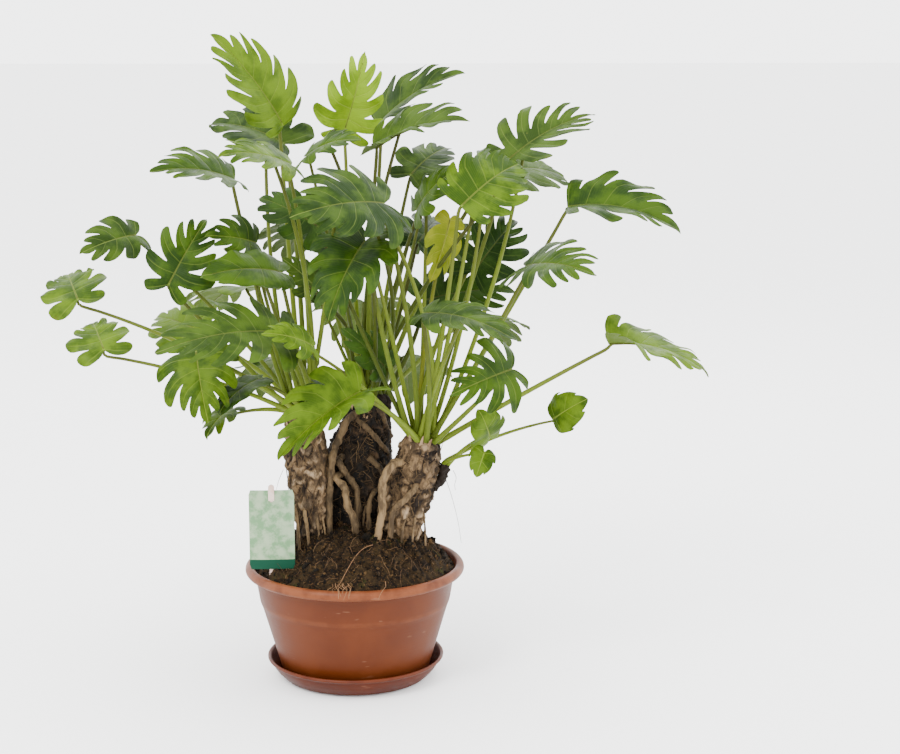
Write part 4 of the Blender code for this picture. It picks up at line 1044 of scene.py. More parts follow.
    def shell(self, shade: float) -> Shell:
        """Build the blade as a closed thin shell on a grid: side veins by reach from the midrib.

        Args:
            shade: how light this leaf is, kept as a mark.

        Returns:
            The shell with the marks grain, kind and tint.
        """
        shape = self.shape
        steps = (np.arange(self.form.fingers)[:, None] + np.array(shape.lobe_steps)).ravel() * self.pitch
        steps = np.append(steps[steps < 1.0 - 1e-6], 1.0)
        half = len(shape.reach_steps) - 1
        shares = np.array(shape.reach_steps)
        side = np.sign(np.concatenate([-shares[:0:-1], shares]))[None, :]
        shares = np.concatenate([shares[:0:-1], shares])[None, :]
        step = np.repeat(steps[:, None], side.size, axis=1)
        reach = shares * self.edge(step, side)
        forward, out = self.plan(step, reach)
        out = out * side
        lift = self.relief(step, reach, forward, out)
        depth = shape.thick - (shape.thick - shape.thin) * reach**2
        index = np.arange(step.size).reshape(step.shape)
        index[steps <= shape.vein_start, half] = index[0, half]
        index[-1, :half] = index[-1, :half:-1]
        border = np.concatenate([index[:, -1], index[-2::-1, 0], index[0, 1:]])
        faces = [sheet_faces(index), sheet_faces(index[:, ::-1] + step.size),
                 sheet_faces(np.stack([border, border + step.size]))]
        midrib = np.abs(out) / MM * (0.8 + 1.4 * np.clip(forward / self.length, 0.0, 1.0))
        vein = self.vein_gap(step, reach) / MM
        marks = {
            "grain": np.tile(spread_out(step.shape, midrib, vein, reach), (2, 1, 1)),
            "kind": np.repeat(((0.0, 0.0, 0.0), (1.0, 0.0, 0.0)), step.size, axis=0),
            "tint": np.tile(spread_out(step.shape, shade, step / self.pitch, 0.0), (2, 1, 1)),
        }
        points = np.vstack([self.place(forward, out, lift), self.place(forward, out, lift - depth)])
        rows = {name: values.reshape(-1, 3) for name, values in marks.items()}
        return Shell(points.reshape(-1, 3), np.vstack(faces), rows).trimmed().outward()


@dataclass(frozen=True)
class Socket:
    """Where a stalk leaves its crown: the place, the way the crown points, and the lean outwards."""

    place: np.ndarray
    ahead: np.ndarray
    lean: np.ndarray


@dataclass(frozen=True)
class Foliage:
    """All leaves, each from its socket in a crown."""

    shape: BladeShape = BladeShape()
    rings: tuple[tuple[int, float], ...] = ((1, 0.0), (6, 8.8 * MM), (11, 16.8 * MM))
    offshoot_rings: tuple[tuple[int, float], ...] = ((3, 3.6 * MM),)
    offshoot_ahead: Place = (0.45, -0.35, 0.8)
    crown_reach: float = 16 * MM
    spacing: float = 8.8 * MM
    depth: float = 10 * MM
    rise: float = 2.5 * MM
    bend: float = 9 * MM
    leave: Place = (0.8, 0.3, 0.25)
    full_blade: float = 13 * CM
    sides: int = 12
    stalk_points: int = 14
    stalk_rings: int = 54
    trunk_points: int = 16
    radii: tuple[float, ...] = (3.8, 3.4, 2.3)
    rib_places: tuple[float, ...] = (0.03, 0.09, 0.2, 0.36, 0.54, 0.72, 0.86)
    rib_radii: tuple[float, ...] = (1.9, 1.7, 1.4, 1.1, 0.85, 0.6, 0.4)
    sheath: float = 0.6
    sheath_length: float = 26 * MM
    between_ring: float = 12.8 * MM
    between_drop: float = 1.5 * MM
    between_size: float = 0.9
    between_shade: float = 0.1

    def crown_frame(self, crown: Crown) -> tuple[np.ndarray, ...]:
        """Give the middle of a crown's top, the way it points, and its right and back."""
        if crown is Crown.OFFSHOOT:
            top, ahead = VIEW.point(OFFSHOOT_STUB.places[-1]), unit(np.array(self.offshoot_ahead))
        else:
            line = smooth_line(VIEW.line(trunk_of(crown).line), self.trunk_points)
            top, ahead = line[-1], unit(line[-1] - line[-2])
        right = unit(np.cross((0.0, 1.0, 0.0), ahead))
        return top, ahead, right, np.cross(ahead, right)

    def spread(self, turns: list[float], least: float) -> np.ndarray:
        """Push angles apart until neighbours on the circle are at least the given angle apart."""
        moved = np.array(turns, float)
        for _ in range(400):
            order = np.argsort(moved)
            ahead = np.roll(order, -1)
            gaps = (moved[ahead] - moved[order]) % math.tau
            push = np.maximum(0.0, least - gaps) * 0.5
            moved[ahead] += push
            moved[order] -= push
        return moved

    def sockets(self, crown: Crown) -> dict[str, Socket]:
        """Share out a crown's places: upright stalks in its middle, low ones outside.

        Args:
            crown: the crown whose leaves get their places.

        Returns:
            The socket of each leaf, by the leaf's name.
        """
        top, ahead, right, back = self.crown_frame(crown)
        leaves = [form for form in LEAVES if form.crown is crown]
        ways = {form.name: unit(VIEW.point(form.joint) - top) for form in leaves}
        leaves.sort(key=lambda form: -float(np.dot(ways[form.name], ahead)))
        sockets = {}
        for places, ring in self.offshoot_rings if crown is Crown.OFFSHOOT else self.rings:
            group, leaves = leaves[:places], leaves[places:]
            turns = [math.atan2(np.dot(ways[form.name], back), np.dot(ways[form.name], right))
                     for form in group]
            if ring > 0 and len(group) > 1:
                turns = self.spread(turns, min(self.spacing / ring, math.tau / len(group) * 0.98))
            for form, turn in zip(group, turns):
                out = math.cos(turn) * right + math.sin(turn) * back
                sockets[form.name] = Socket(top + out * ring, ahead, out * ring / self.crown_reach)
        return sockets

    def stalk(self, blade: Blade, socket: Socket, shade: float) -> Shell:
        """Build a stalk that runs on under the blade as its midrib.

        The stalk follows a parabola from the crown to a short bend under the joint, then the
        midrib, and thickens to a sheath at its foot.

        Args:
            blade: the blade that it carries.
            socket: where it leaves the crown.
            shade: how light this leaf is.

        Returns:
            A tube with the same marks as the blade.
        """
        foot = socket.place + socket.ahead * self.rise
        way = unit(blade.start - foot)
        under = blade.start - unit(blade.up - min(0.0, float(np.dot(blade.up, way))) * way) * self.bend
        size = min(1.0, blade.length / self.full_blade) ** 0.5
        forward = np.array(self.rib_places) * blade.length
        rib_radii = np.array(self.rib_radii) * MM * size
        rib = blade.place(forward, np.zeros(len(forward)), -0.5 * MM - 0.7 * rib_radii)
        line = np.vstack([self.route(socket, under, np.array(blade.form.bow) * CM), rib])
        radii = np.interp(np.linspace(0, 1, self.stalk_points + 1), (0, 0.5, 1), self.radii) * MM * size
        full = float(np.linalg.norm(under - foot)) + self.bend
        return self.tube(line, np.concatenate([radii, rib_radii]), full, shade)

    def route(self, socket: Socket, end: np.ndarray, bow: np.ndarray) -> np.ndarray:
        """Give a stalk's middle line: a parabola that leaves its crown between three ways.

        Args:
            socket: where the stalk leaves the crown.
            end: where it ends.
            bow: how far its middle is pushed aside.

        Returns:
            The points of the line, the first one deep in the crown.
        """
        foot = socket.place + socket.ahead * self.rise
        reach = np.linalg.norm(end - foot)
        direct, upright, outward = self.leave
        leave = unit(direct * unit(end - foot) + upright * socket.ahead + outward * socket.lean)
        middle = foot + leave * reach * 0.5 + bow
        share = np.linspace(0.0, 1.0, self.stalk_points)[:, None]
        line = foot * (1 - share) ** 2 + 2 * middle * share * (1 - share) + end * share**2
        return np.vstack([socket.place - socket.ahead * self.depth, line])

    def tube(self, line: np.ndarray, radii: np.ndarray, full: float, shade: float) -> Shell:
        """Build a stalk round a line, thicker at its foot.

        Args:
            line: the points of its middle line.
            radii: its radius at each of them.
            full: the length over which its colour runs from foot to top.
            shade: how light this leaf is.

        Returns:
            A tube with the same marks as a blade.
        """
        fine = smooth_line(np.hstack([line, radii[:, None]]), self.stalk_rings)
        line, radii = fine[:, :3], fine[:, 3]
        length = arc_lengths(line)
        radii = radii * (1.0 + self.sheath * np.exp(-length / self.sheath_length))
        rings = tube_rings(line, radii, self.sides)
        shape = rings.shape[:2]
        up = np.clip(length / full, 0.0, 1.0)[:, None]
        marks = {"grain": spread_out(shape, 9.0, 9.0, 0.0), "kind": spread_out(shape, 0.0, 1.0, up),
                 "tint": spread_out(shape, shade, 0.0, 0.0)}
        return ringed_shell(rings, marks)

    def between(self, blades: dict[str, Blade], crown: Crown) -> Shell:
        """Build a crown's stalks that show between the leaves and whose own blades are hidden.

        Each leaves the crown between two sockets and ends at the underside of a leaf.

        Args:
            blades: every blade, by its leaf's name.
            crown: the crown that they grow from.

        Returns:
            One shell of all of them.
        """
        top, ahead, right, back = self.crown_frame(crown)
        shells = []
        for number, (name, forward, out) in enumerate(STALKS_BETWEEN[crown]):
            blade = blades[name]
            turn = number * GOLDEN_TURN
            side = (math.cos(turn) * right + math.sin(turn) * back) * self.between_ring
            socket = Socket(top + side, ahead, side / self.crown_reach)
            places = (np.array([forward, out]) * blade.length)[:, None]
            end = blade.place(places[0], places[1], np.array([-self.between_drop]))[0]
            line = self.route(socket, end, np.zeros(3))
            radii = np.interp(np.linspace(0, 1, len(line)), (0, 0.5, 1), self.radii) * MM * self.between_size
            full = float(np.linalg.norm(end - top))
            shells.append(self.tube(line, radii, full, self.between_shade * (number % 5)))
        return joined(shells)

    def make(self) -> None:
        """Build and dress every leaf."""
        finishes = {slot: finish.material() for slot, finish in LEAF_FINISHES.items()}
        blades = {}
        dice = np.random.default_rng(41)
        for crown in Crown:
            sockets = self.sockets(crown)
            for form in (item for item in LEAVES if item.crown is crown):
                shade = float(dice.uniform(0.0, 0.7))
                blade = Blade(form, self.shape, int(dice.integers(1, 9999)))
                blades[form.name] = blade
                shell = joined([blade.shell(shade), self.stalk(blade, sockets[form.name], shade)])
                build("grown_" + form.name, shell, finishes[form.tone], (form.name,), crease=60.0)
        for crown, tone in ((Crown.LEFT, Slot.MID), (Crown.MIDDLE, Slot.DARK), (Crown.RIGHT, Slot.FRESH)):
            shell = self.between(blades, crown)
            build("stalks_between_" + crown.value, shell, finishes[tone], crease=60.0)


STALKS_BETWEEN = {
    Crown.LEFT: (("leaf_upper_inner", 0.35, 0.12), ("leaf_upper_left_back", 0.3, -0.1),
                 ("leaf_left_smooth", 0.3, 0.05), ("leaf_front_centre", 0.5, -0.1),
                 ("leaf_left_inner", 0.2, 0.1), ("leaf_left_large", 0.2, -0.15)),
    Crown.MIDDLE: (("leaf_front_centre", 0.3, 0.15), ("leaf_centre_hanging", 0.4, -0.1),
                   ("leaf_centre_hanging", 0.2, 0.15), ("leaf_upper_centre", 0.4, 0.1),
                   ("leaf_top_centre", 0.3, 0.0), ("leaf_inner_left", 0.3, 0.1),
                   ("leaf_inner_right_middle", 0.4, 0.1), ("leaf_upper_right_front", 0.3, -0.15)),
    Crown.RIGHT: (("leaf_front_centre", 0.15, -0.1), ("leaf_centre_hanging", 0.1, 0.1),
                  ("leaf_upper_right_front", 0.35, 0.1), ("leaf_upper_right_front", 0.2, -0.1),
                  ("leaf_right_back", 0.3, 0.1), ("leaf_upper_right", 0.3, 0.1),
                  ("leaf_inner_right_middle", 0.3, -0.1), ("leaf_low_right_pale", 0.4, 0.1)),
}


LEAF_FINISHES = {
    Slot.MID: LeafFinish(
        "leaf_mid", (0.028, 0.0574, 0.0021), (0.0049, 0.0168, 0.0007), (0.0392, 0.0616, 0.0112),
        (0.0735, 0.105, 0.014), (0.0756, 0.1022, 0.0112), (0.077, 0.070, 0.0084)),
    Slot.FRESH: LeafFinish(
        "leaf_fresh", (0.0588, 0.1036, 0.0021), (0.0126, 0.0315, 0.0007), (0.0546, 0.0868, 0.0098),
        (0.105, 0.1484, 0.0154), (0.0994, 0.133, 0.014), (0.105, 0.098, 0.007)),
    Slot.YOUNG: LeafFinish(
        "leaf_young", (0.119, 0.1995, 0.0042), (0.0532, 0.1085, 0.0021), (0.105, 0.154, 0.0126),
        (0.1855, 0.2415, 0.0294), (0.105, 0.140, 0.0126), (0.168, 0.161, 0.014)),
    Slot.DARK: LeafFinish(
        "leaf_dark", (0.0196, 0.0448, 0.0035), (0.0042, 0.014, 0.0007), (0.0266, 0.0476, 0.0091),
        (0.0455, 0.0735, 0.0119), (0.0364, 0.049, 0.0056), (0.056, 0.049, 0.007)),
    # leaf_grey: its greyer, bluer green is partly painted sheen, the reflection of the soft lights painted
    # into the leaf colour.
    Slot.GREY: LeafFinish(
        "leaf_grey", (0.032, 0.060, 0.005), (0.0056, 0.0161, 0.0014), (0.0504, 0.0756, 0.016),
        (0.080, 0.112, 0.021), (0.070, 0.0938, 0.0105), (0.070, 0.063, 0.0098), gloss=0.47),
    Slot.OLD: LeafFinish(
        "leaf_old", (0.1295, 0.1435, 0.0049), (0.0595, 0.0875, 0.0028), (0.112, 0.119, 0.0098),
        (0.168, 0.175, 0.0238), (0.105, 0.119, 0.0112), (0.091, 0.049, 0.0084), tip_share=0.8),
}


class Skin:
    """The surface of a trunk: a line with two directions and a radius at each point."""

    def __init__(self, form: TrunkForm, rings: int) -> None:
        """Work out the line, its frames and radii."""
        radii = np.array(form.radii)[:, None] * CM
        fine = smooth_line(np.hstack([VIEW.line(form.line), radii]), rings)
        self.line, self.radii = fine[:, :3], fine[:, 3]
        self.across, self.other = line_frames(self.line)
        self.heights = arc_lengths(self.line)

    def at(self, values: np.ndarray, height: np.ndarray) -> np.ndarray:
        """Read one of the line's own rows of numbers at a height along it."""
        return np.stack([np.interp(height, self.heights, part) for part in values.T], axis=-1)

    def ahead(self) -> np.ndarray:
        """Give the way that the trunk's top points."""
        return unit(self.line[-1] - self.line[-4])

    def place(self, height: np.ndarray, turn: np.ndarray, lift: np.ndarray) -> tuple[np.ndarray, np.ndarray]:
        """Give points on the skin and the way out there.

        Args:
            height: distance along the trunk's line.
            turn: angle round it.
            lift: height off the skin.

        Returns:
            The points and the outward directions.
        """
        out = unit(np.cos(turn)[..., None] * self.at(self.across, height)
                   + np.sin(turn)[..., None] * self.at(self.other, height))
        radius = np.interp(height, self.heights, self.radii) + lift
        return self.at(self.line, height) + out * radius[..., None], out


@dataclass(frozen=True)
class Trunks:
    """The three trunks with leaf scars and aerial roots, loose fibres and dry leaf sheaths."""

    rings: int = 200
    sides: int = 132
    dome_rings: int = 7
    dome: float = 0.4
    knob_step: float = 1.9 * MM
    knob_jitter: float = 6 * MM
    knob_height: float = 5.4 * MM
    knob_round: float = 2.2
    knob_stretch: tuple[float, float] = (0.85, 1.15)
    groove: float = 0.22
    cork: float = 0.8 * MM
    wrap: float = 30 * MM
    warp: float = 2.8 * MM
    root_rings: int = 90
    root_sides: int = 20
    skin_rings: int = 60
    thread_points: int = 16
    fibre_points: int = 8
    threads: tuple[tuple[Place, ...], ...] = (
        ((12.4, 27.6, -1.4), (13.0, 25.9, -1.8), (13.6, 23.8, -2.0), (14.2, 21.2, -1.6), (14.6, 18.4, -0.6)),
        ((13.5, 28.6, -1.6), (13.9, 27.6, -2.0), (13.7, 26.6, -2.1), (13.8, 25.8, -2.0)),
        ((11.1, 31.9, -2.4), (10.9, 30.4, -3.0), (11.3, 29.4, -3.1), (11.7, 28.7, -2.8)),
        ((-9.6, 29.0, -2.0), (-10.2, 27.6, -2.2), (-10.6, 26.2, -2.1)),
    )

    def relief(self, height: np.ndarray, turn: np.ndarray, radius: np.ndarray,
               length: float) -> tuple[np.ndarray, ...]:
        """Give the knobs of old leaf scars: cells round the points of a shaken spiral.

        t = 2 * nearest / (nearest + second), where nearest and second are the distances to the
        two closest points; a knob stands out by height * (1 - t ^ round), and the groove
        between knobs is exp(-((1 - t) / groove) ^ 2).

        Args:
            height: distance along the trunk.
            turn: angle round it.
            radius: the trunk's radius there.
            length: the trunk's whole length.

        Returns:
            How far the skin stands out, how pale it is, and how much it belongs to a groove.
        """
        dice = np.random.default_rng(int(length * 1e4))
        shape = np.broadcast(height, turn).shape
        nearest, second, tone = np.full(shape, 1.0), np.full(shape, 1.0), np.zeros(shape)
        for number in range(int(length / self.knob_step)):
            middle = number * self.knob_step + dice.normal(0.0, self.knob_jitter)
            around = number * GOLDEN_TURN + dice.normal(0.0, self.knob_jitter) / radius.mean()
            apart = np.angle(np.exp(1j * (turn - around))) * radius
            gap = np.hypot(apart * self.knob_stretch[0], (height - middle) * self.knob_stretch[1])
            second = np.minimum(second, np.maximum(nearest, gap))
            tone = np.where(gap < nearest, dice.uniform(0.0, 1.0), tone)
            nearest = np.minimum(nearest, gap)
        share = 2.0 * nearest / (nearest + second)
        knob = 1.0 - share**self.knob_round
        valley = np.exp(-((1.0 - share) / self.groove) ** 2)
        return self.knob_height * knob * (0.5 + 0.5 * tone), knob * tone, valley

    def trunk(self, form: TrunkForm, seed: int) -> Shell:
        """Build a trunk: its line and radii, the knobs, cork ridges and a domed crown.

        Args:
            form: the trunk.
            seed: picks its ripples; each use of them adds its own number to it.

        Returns:
            The shell with the marks bark and shade.
        """
        skin = Skin(form, self.rings)
        turns = np.arange(self.sides) * math.tau / self.sides
        height, radius = skin.heights[:, None], skin.radii[:, None]
        shape = (self.rings, self.sides)
        grid = spread_out(shape, np.cos(turns) * self.wrap, np.sin(turns) * self.wrap, height * 0.5)
        aside = ripples(grid, 22 * MM, seed + 3) + 0.5 * ripples(grid, 8 * MM, seed + 5)
        upward = ripples(grid, 18 * MM, seed + 4) + 0.5 * ripples(grid, 7 * MM, seed + 6)
        relief, scar, groove = self.relief(height + self.warp * upward, turns + self.warp * aside / radius,
                                           radius, skin.heights[-1])
        cork = ripples(grid, 9 * MM, seed) + 0.5 * ripples(grid, 4 * MM, seed + 1)
        cork = cork * self.cork * (2.0 if form.slot is Slot.DARK_BARK else 1.0)
        shade = 0.5 * np.clip(ripples(grid, 34 * MM, seed + 2), 0.0, 1.0)
        # The grooves between knobs are darkened: partly the dark fibre between the scars, partly painted
        # shade in the grooves.
        shade = shade + 0.75 * groove * np.clip(0.75 + 0.5 * ripples(grid, 16 * MM, seed + 7), 0.2, 1.0)
        points, _ = skin.place(np.broadcast_to(height, shape), np.broadcast_to(turns, shape), relief + cork)
        lifts = np.linspace(0.0, math.pi / 2, self.dome_rings + 1)[1:-1, None, None]
        top = points[-1].mean(axis=0)
        dome = top + (points[-1] - top) * np.cos(lifts)
        dome = dome + skin.ahead() * np.sin(lifts) * self.dome * skin.radii[-1]
        rows = np.append(np.arange(self.rings), np.full(len(dome), self.rings - 1))
        marks = {"bark": spread_out(shape, scar, 0.0, 0.0)[rows], "shade": shade[rows][..., None]}
        return ringed_shell(np.concatenate([points, dome]), marks)

    def root(self, form: RootForm, seed: int) -> Shell:
        """Build an aerial root: a tube, a little thinner towards its end, with a lumpy skin."""
        line = smooth_line(VIEW.line(form.places), self.root_rings)
        down = np.linspace(0.0, 1.0, self.root_rings)
        rings = tube_rings(line, (1.12 - 0.15 * down) * form.width / 2 * MM, self.root_sides)
        lumps = 0.07 * ripples(rings, 14 * MM, seed) + 0.04 * ripples(rings, 5 * MM, seed + 1)
        lumps = 1.0 + (1.0 + 1.5 * form.dark) * lumps
        rings = line[:, None, :] + (rings - line[:, None, :]) * lumps[..., None]
        bark = spread_out(lumps.shape, 0.0, 1.0, down[:, None])
        return ringed_shell(rings, {"bark": bark, "shade": spread_out(lumps.shape, form.dark)})

    def fibres(self, form: TrunkForm, count: int, seed: int) -> Shell:
        """Hang loose fibres on a trunk: each runs down the skin with a wandering turn."""
        skin = Skin(form, self.skin_rings)
        dice = np.random.default_rng(seed)
        share = np.linspace(0.0, 1.0, self.fibre_points)[None, :]
        top = dice.uniform(70 * MM, skin.heights[-1], (count, 1))
        length = dice.uniform(14 * MM, 60 * MM, (count, 1))
        turn = dice.uniform(0.0, math.tau, (count, 1)) + dice.normal(0.0, 0.45, (count, 1)) * share
        turn = turn + dice.normal(0.0, 0.10, (count, self.fibre_points))
        lift = dice.uniform(1.0 * MM, 3.4 * MM, (count, 1))
        lift = lift + 3 * MM * share**2 * dice.uniform(0.0, 1.0, (count, 1))
        points, out = skin.place(np.maximum(top - length * share, 60 * MM), turn, lift)
        size = dice.uniform(0.18 * MM, 0.5 * MM, (count, 1)) * (1.0 - 0.6 * share)
        return strands(points, size * 1.6, size, out[:, 0], dice.uniform(0.0, 1.0, count))

    def sheaths(self, crown: Crown, count: int, seed: int) -> Shell:
        """Stand dry, papery leaf sheaths round a crown: ribbons that narrow to a torn point."""
        skin = Skin(trunk_of(crown), self.skin_rings)
        dice = np.random.default_rng(seed)
        share = np.linspace(0.0, 1.0, self.fibre_points)[None, :]
        low = skin.heights[-1] - dice.uniform(4 * MM, 26 * MM, (count, 1))
        length = dice.uniform(14 * MM, 34 * MM, (count, 1))
        turn = (np.arange(count) * GOLDEN_TURN)[:, None] + dice.normal(0.0, 0.12, (count, 1)) * share
        lean = dice.uniform(1.0 * MM, 7.0 * MM, (count, 1))
        height = low + length * share
        over = np.maximum(0.0, height - skin.heights[-1])
        points, out = skin.place(height, turn, 1.2 * MM + lean * share**2)
        points = points + over[..., None] * skin.ahead()
        wide = dice.uniform(2.2 * MM, 4.6 * MM, (count, 1)) * np.sqrt(np.maximum(0.02, 1.0 - share))
        thick = np.full(wide.shape, 0.22 * MM)
        return strands(points, wide, thick, out[:, 0], dice.uniform(0.0, 1.0, count))

    def thread_roots(self) -> Shell:
        """Hang the hair-thin roots beside the trunks."""
        lines = np.array([smooth_line(VIEW.line(places), self.thread_points) for places in self.threads])
        size = np.tile(np.linspace(0.42 * MM, 0.22 * MM, self.thread_points), (len(lines), 1))
        return strands(lines, size, size, (0.0, -1.0, 0.2), np.linspace(0.1, 0.5, len(lines)))

    def make(self) -> None:
        """Build and dress the trunks and what hangs on them."""
        finishes = {slot: finish.material() for slot, finish in BARK_FINISHES.items()}
        for number, form in enumerate(TRUNKS):
            roots = [self.root(root, 30 * number + place) for place, root in enumerate(form.roots)]
            shell = joined([self.trunk(form, 7 + 9 * number)] + roots)
            build("grown_" + form.name, shell, finishes[form.slot], (form.name,), crease=70.0)
        fibre = ShadedFinish("trunk_fibre", (0.014, 0.0084, 0.0042), (0.084, 0.0525, 0.0252)).material()
        build("fibres_middle", self.fibres(TRUNKS[1], 420, 3), fibre)
        build("fibres_left", self.fibres(TRUNKS[0], 120, 4), fibre)
        build("fibres_right", self.fibres(TRUNKS[2], 170, 5), fibre)
        build("thread_roots", self.thread_roots(), fibre)
        sheath = ShadedFinish("dry_sheath", (0.049, 0.0238, 0.0105), (0.217, 0.1435, 0.0805), 0.7).material()
        for crown, count in ((Crown.LEFT, 8), (Crown.MIDDLE, 7), (Crown.RIGHT, 14)):
            build(f"sheaths_{crown.value}", self.sheaths(crown, count, 11 + count), sheath)


BARK_FINISHES = {
    Slot.BARK: BarkFinish(
        "trunk_bark", (0.1365, 0.0854, 0.042), (0.0077, 0.0042, 0.0021), (0.280, 0.1995, 0.1204),
        (0.1834, 0.119, 0.0574)),
    Slot.DARK_BARK: BarkFinish(
        "dark_trunk_bark", (0.0119, 0.0070, 0.0031), (0.0017, 0.0011, 0.0006), (0.0512, 0.0286, 0.0126),
        (0.150, 0.0966, 0.0455)),
}


@dataclass(frozen=True)
class SoilHeap:
    """The heaped soil with its crumbs and fibres."""

    edge_radius: float = 136.1 * MM
    edge_height: float = 152 * MM
    heap: float = 60 * MM
    steepness: float = 3.0
    clod: float = 2.1 * MM
    waves: tuple[float, ...] = (210.0, 190.0, 390.0, -260.0)
    tag: tuple[float, float] = (-110 * MM, -66 * MM)
    dent: float = 0.72
    dent_reach: float = 45 * MM
    mound: float = 17 * MM
    mound_reach: float = 17 * MM
    mound_fade: float = 12.0
    clod_fade: float = 5.0
    side: tuple[tuple[float, float], ...] = ((95.6, 9.85), (123.3, 103.9), (127.5, 108.4), (132.5, 140.0))
    rings: int = 120
    sides: int = 320
    crumbs: int = 4600
    crumb_size: float = 0.9
    fibres: int = 170
    fibre_points: int = 8
    rim_points: int = 16
    rim_profile: tuple[tuple[float, float], ...] = (
        (-104, 172), (-118, 164.5), (-130, 162.5), (-139, 163), (-146, 162.4), (-151, 158.5), (-152.6, 152),
        (-152.4, 146),
    )

    def height(self, across: np.ndarray, back: np.ndarray) -> np.ndarray:
        """Give the soil's height: a heap that falls steeply to the pot's edge, with clods.

        height = edge + heap * (1 - share ^ steepness) * (1 - dent by the tag) + mound + clods,
        where the mound covers the stake's foot, and the clods are sums of waves of four sizes
        that fade out at the pot's wall.
        """
        share = np.minimum(np.hypot(across, back) / self.edge_radius, 1.0)
        first, second, third, fourth = self.waves
        coarse = np.sin(across * first + 1.3) * np.cos(back * second + 0.4)
        coarse = coarse + 0.6 * np.sin(across * third + back * fourth + 2.1)
        middle, front = self.tag
        apart = (across - middle) ** 2 + (back - front) ** 2
        dent = self.dent * np.exp(-apart / self.dent_reach**2)
        mound = self.mound * np.exp(-apart / self.mound_reach**2)
        mound = mound * np.minimum(1.0, self.mound_fade * (1.0 - share))
        flat = np.stack([across, back, np.zeros(np.shape(across))], axis=-1)
        fine = 1.5 * ripples(flat, 19 * MM, 5) + 0.9 * ripples(flat, 9 * MM, 6)
        fine = fine + 0.7 * ripples(flat, 5 * MM, 8)
        fade = np.minimum(1.0, self.clod_fade * (1.0 - share))
        rough = (self.clod * coarse + fine * MM) * fade
        return self.edge_height + self.heap * (1.0 - share**self.steepness) * (1.0 - dent) + mound + rough

    def body(self) -> Shell:
        """Build the soil from the pot's floor up its wall and over the heap, ring by ring."""
        turns = np.arange(self.sides) * math.tau / self.sides
        around = np.stack([np.cos(turns), np.sin(turns)], axis=-1)
        low = np.array(self.side) * MM
        low = np.vstack([low, [[self.edge_radius, self.edge_height]]])
        wall = [np.hstack([around * radius, np.full((self.sides, 1), height)]) for radius, height in low]
        shares = np.linspace(1.0, 0.0, self.rings + 1)[1:-1] ** 0.85
        radii = self.edge_radius * shares[:, None]
        across, back = radii * around[None, :, 0], radii * around[None, :, 1]
        top = np.stack([across, back, self.height(across, back)], axis=-1)
        return ringed_shell(np.concatenate([np.array(wall), top]))

    def scattered(self, dice: np.random.Generator, share: float,
                  shape: tuple[int, ...]) -> tuple[np.ndarray, np.ndarray]:
        """Draw places on the heap, evenly spread up to a share of its radius."""
        radius = self.edge_radius * share * np.sqrt(dice.uniform(0.0, 1.0, shape))
        turn = dice.uniform(0.0, math.tau, shape)
        return radius * np.cos(turn), radius * np.sin(turn)

    def crumb_shells(self) -> Shell:
        """Scatter crumbs: lumps of 24 faces, each stretched and turned at random, half sunk in."""
        dice = np.random.default_rng(17)
        count = self.crumbs
        across, back = self.scattered(dice, 0.985, (count,))
        size = np.exp(dice.normal(math.log(self.crumb_size), 0.5, count)) * MM
        ball = np.array([[0, 0, 1], [1, 0, 0.2], [0.2, 1, -0.1], [-1, 0.1, 0.1], [0, -1, 0], [0.1, 0, -1]])
        sides = np.array([[0, 1, 2], [0, 2, 3], [0, 3, 4], [0, 4, 1], [5, 2, 1], [5, 3, 2], [5, 4, 3],
                          [5, 1, 4]])
        hubs = np.repeat(len(ball) + np.arange(len(sides))[:, None], 3, axis=1)
        faces = np.stack([sides, np.roll(sides, -1, axis=1), hubs], axis=-1).reshape(-1, 3)
        ball = np.vstack([ball, unit(ball[sides].mean(axis=1))])
        lumps = ball * dice.uniform(0.6, 1.3, (count, len(ball), 1)) * size[:, None, None]
        wide, deep, high = np.moveaxis(lumps * dice.uniform(0.6, 1.5, (count, 1, 3)), -1, 0)
        spin, tilt = dice.uniform(0.0, math.tau, (count, 1)), dice.uniform(-0.9, 0.9, (count, 1))
        turned = np.stack([wide * np.cos(spin) - deep * np.sin(spin),
                           wide * np.sin(spin) + deep * np.cos(spin),
                           high + wide * np.sin(tilt)], axis=-1)
        centres = np.stack([across, back, self.height(across, back) + size * 0.25], axis=-1)
        points = (turned + centres[:, None, :]).reshape(-1, 3)
        faces = (faces + (np.arange(count) * len(ball))[:, None, None]).reshape(-1, 3)
        faces = np.pad(faces, ((0, 0), (0, 1)), constant_values=TRIANGLE)
        shade = np.repeat(dice.uniform(0.0, 0.98, count) ** 3, len(ball))
        return Shell(points, faces, {"shade": shade[:, None]}).outward()

    def fibre_shells(self) -> Shell:
        """Lay fibres on the heap: each starts at random and bends along the surface."""
        dice = np.random.default_rng(23)
        many = (self.fibres, 1)
        share = np.linspace(-0.5, 0.5, self.fibre_points)[None, :]
        across, back = self.scattered(dice, 0.93, many)
        length = np.exp(dice.normal(math.log(15.0), 0.5, many)) * MM
        way = dice.uniform(0.0, math.tau, many) + dice.normal(0.0, 0.9, many) * share
        across, back = across + length * share * np.cos(way), back + length * share * np.sin(way)
        far = np.maximum(1.0, np.hypot(across, back) / (self.edge_radius - 1.5 * MM))
        across, back = across / far, back / far
        arc = dice.uniform(0.2, 0.9, many) * (1.0 - 4.0 * share**2) * length * 0.16
        points = np.stack([across, back, self.height(across, back) + 0.5 * MM + arc], axis=-1)
        size = dice.uniform(0.14 * MM, 0.32 * MM, many) * (1.0 - 0.8 * np.abs(share))
        return strands(points, size * 1.3, size, (0.05, 0.03, 1.0), dice.uniform(0.2, 1.0, self.fibres))

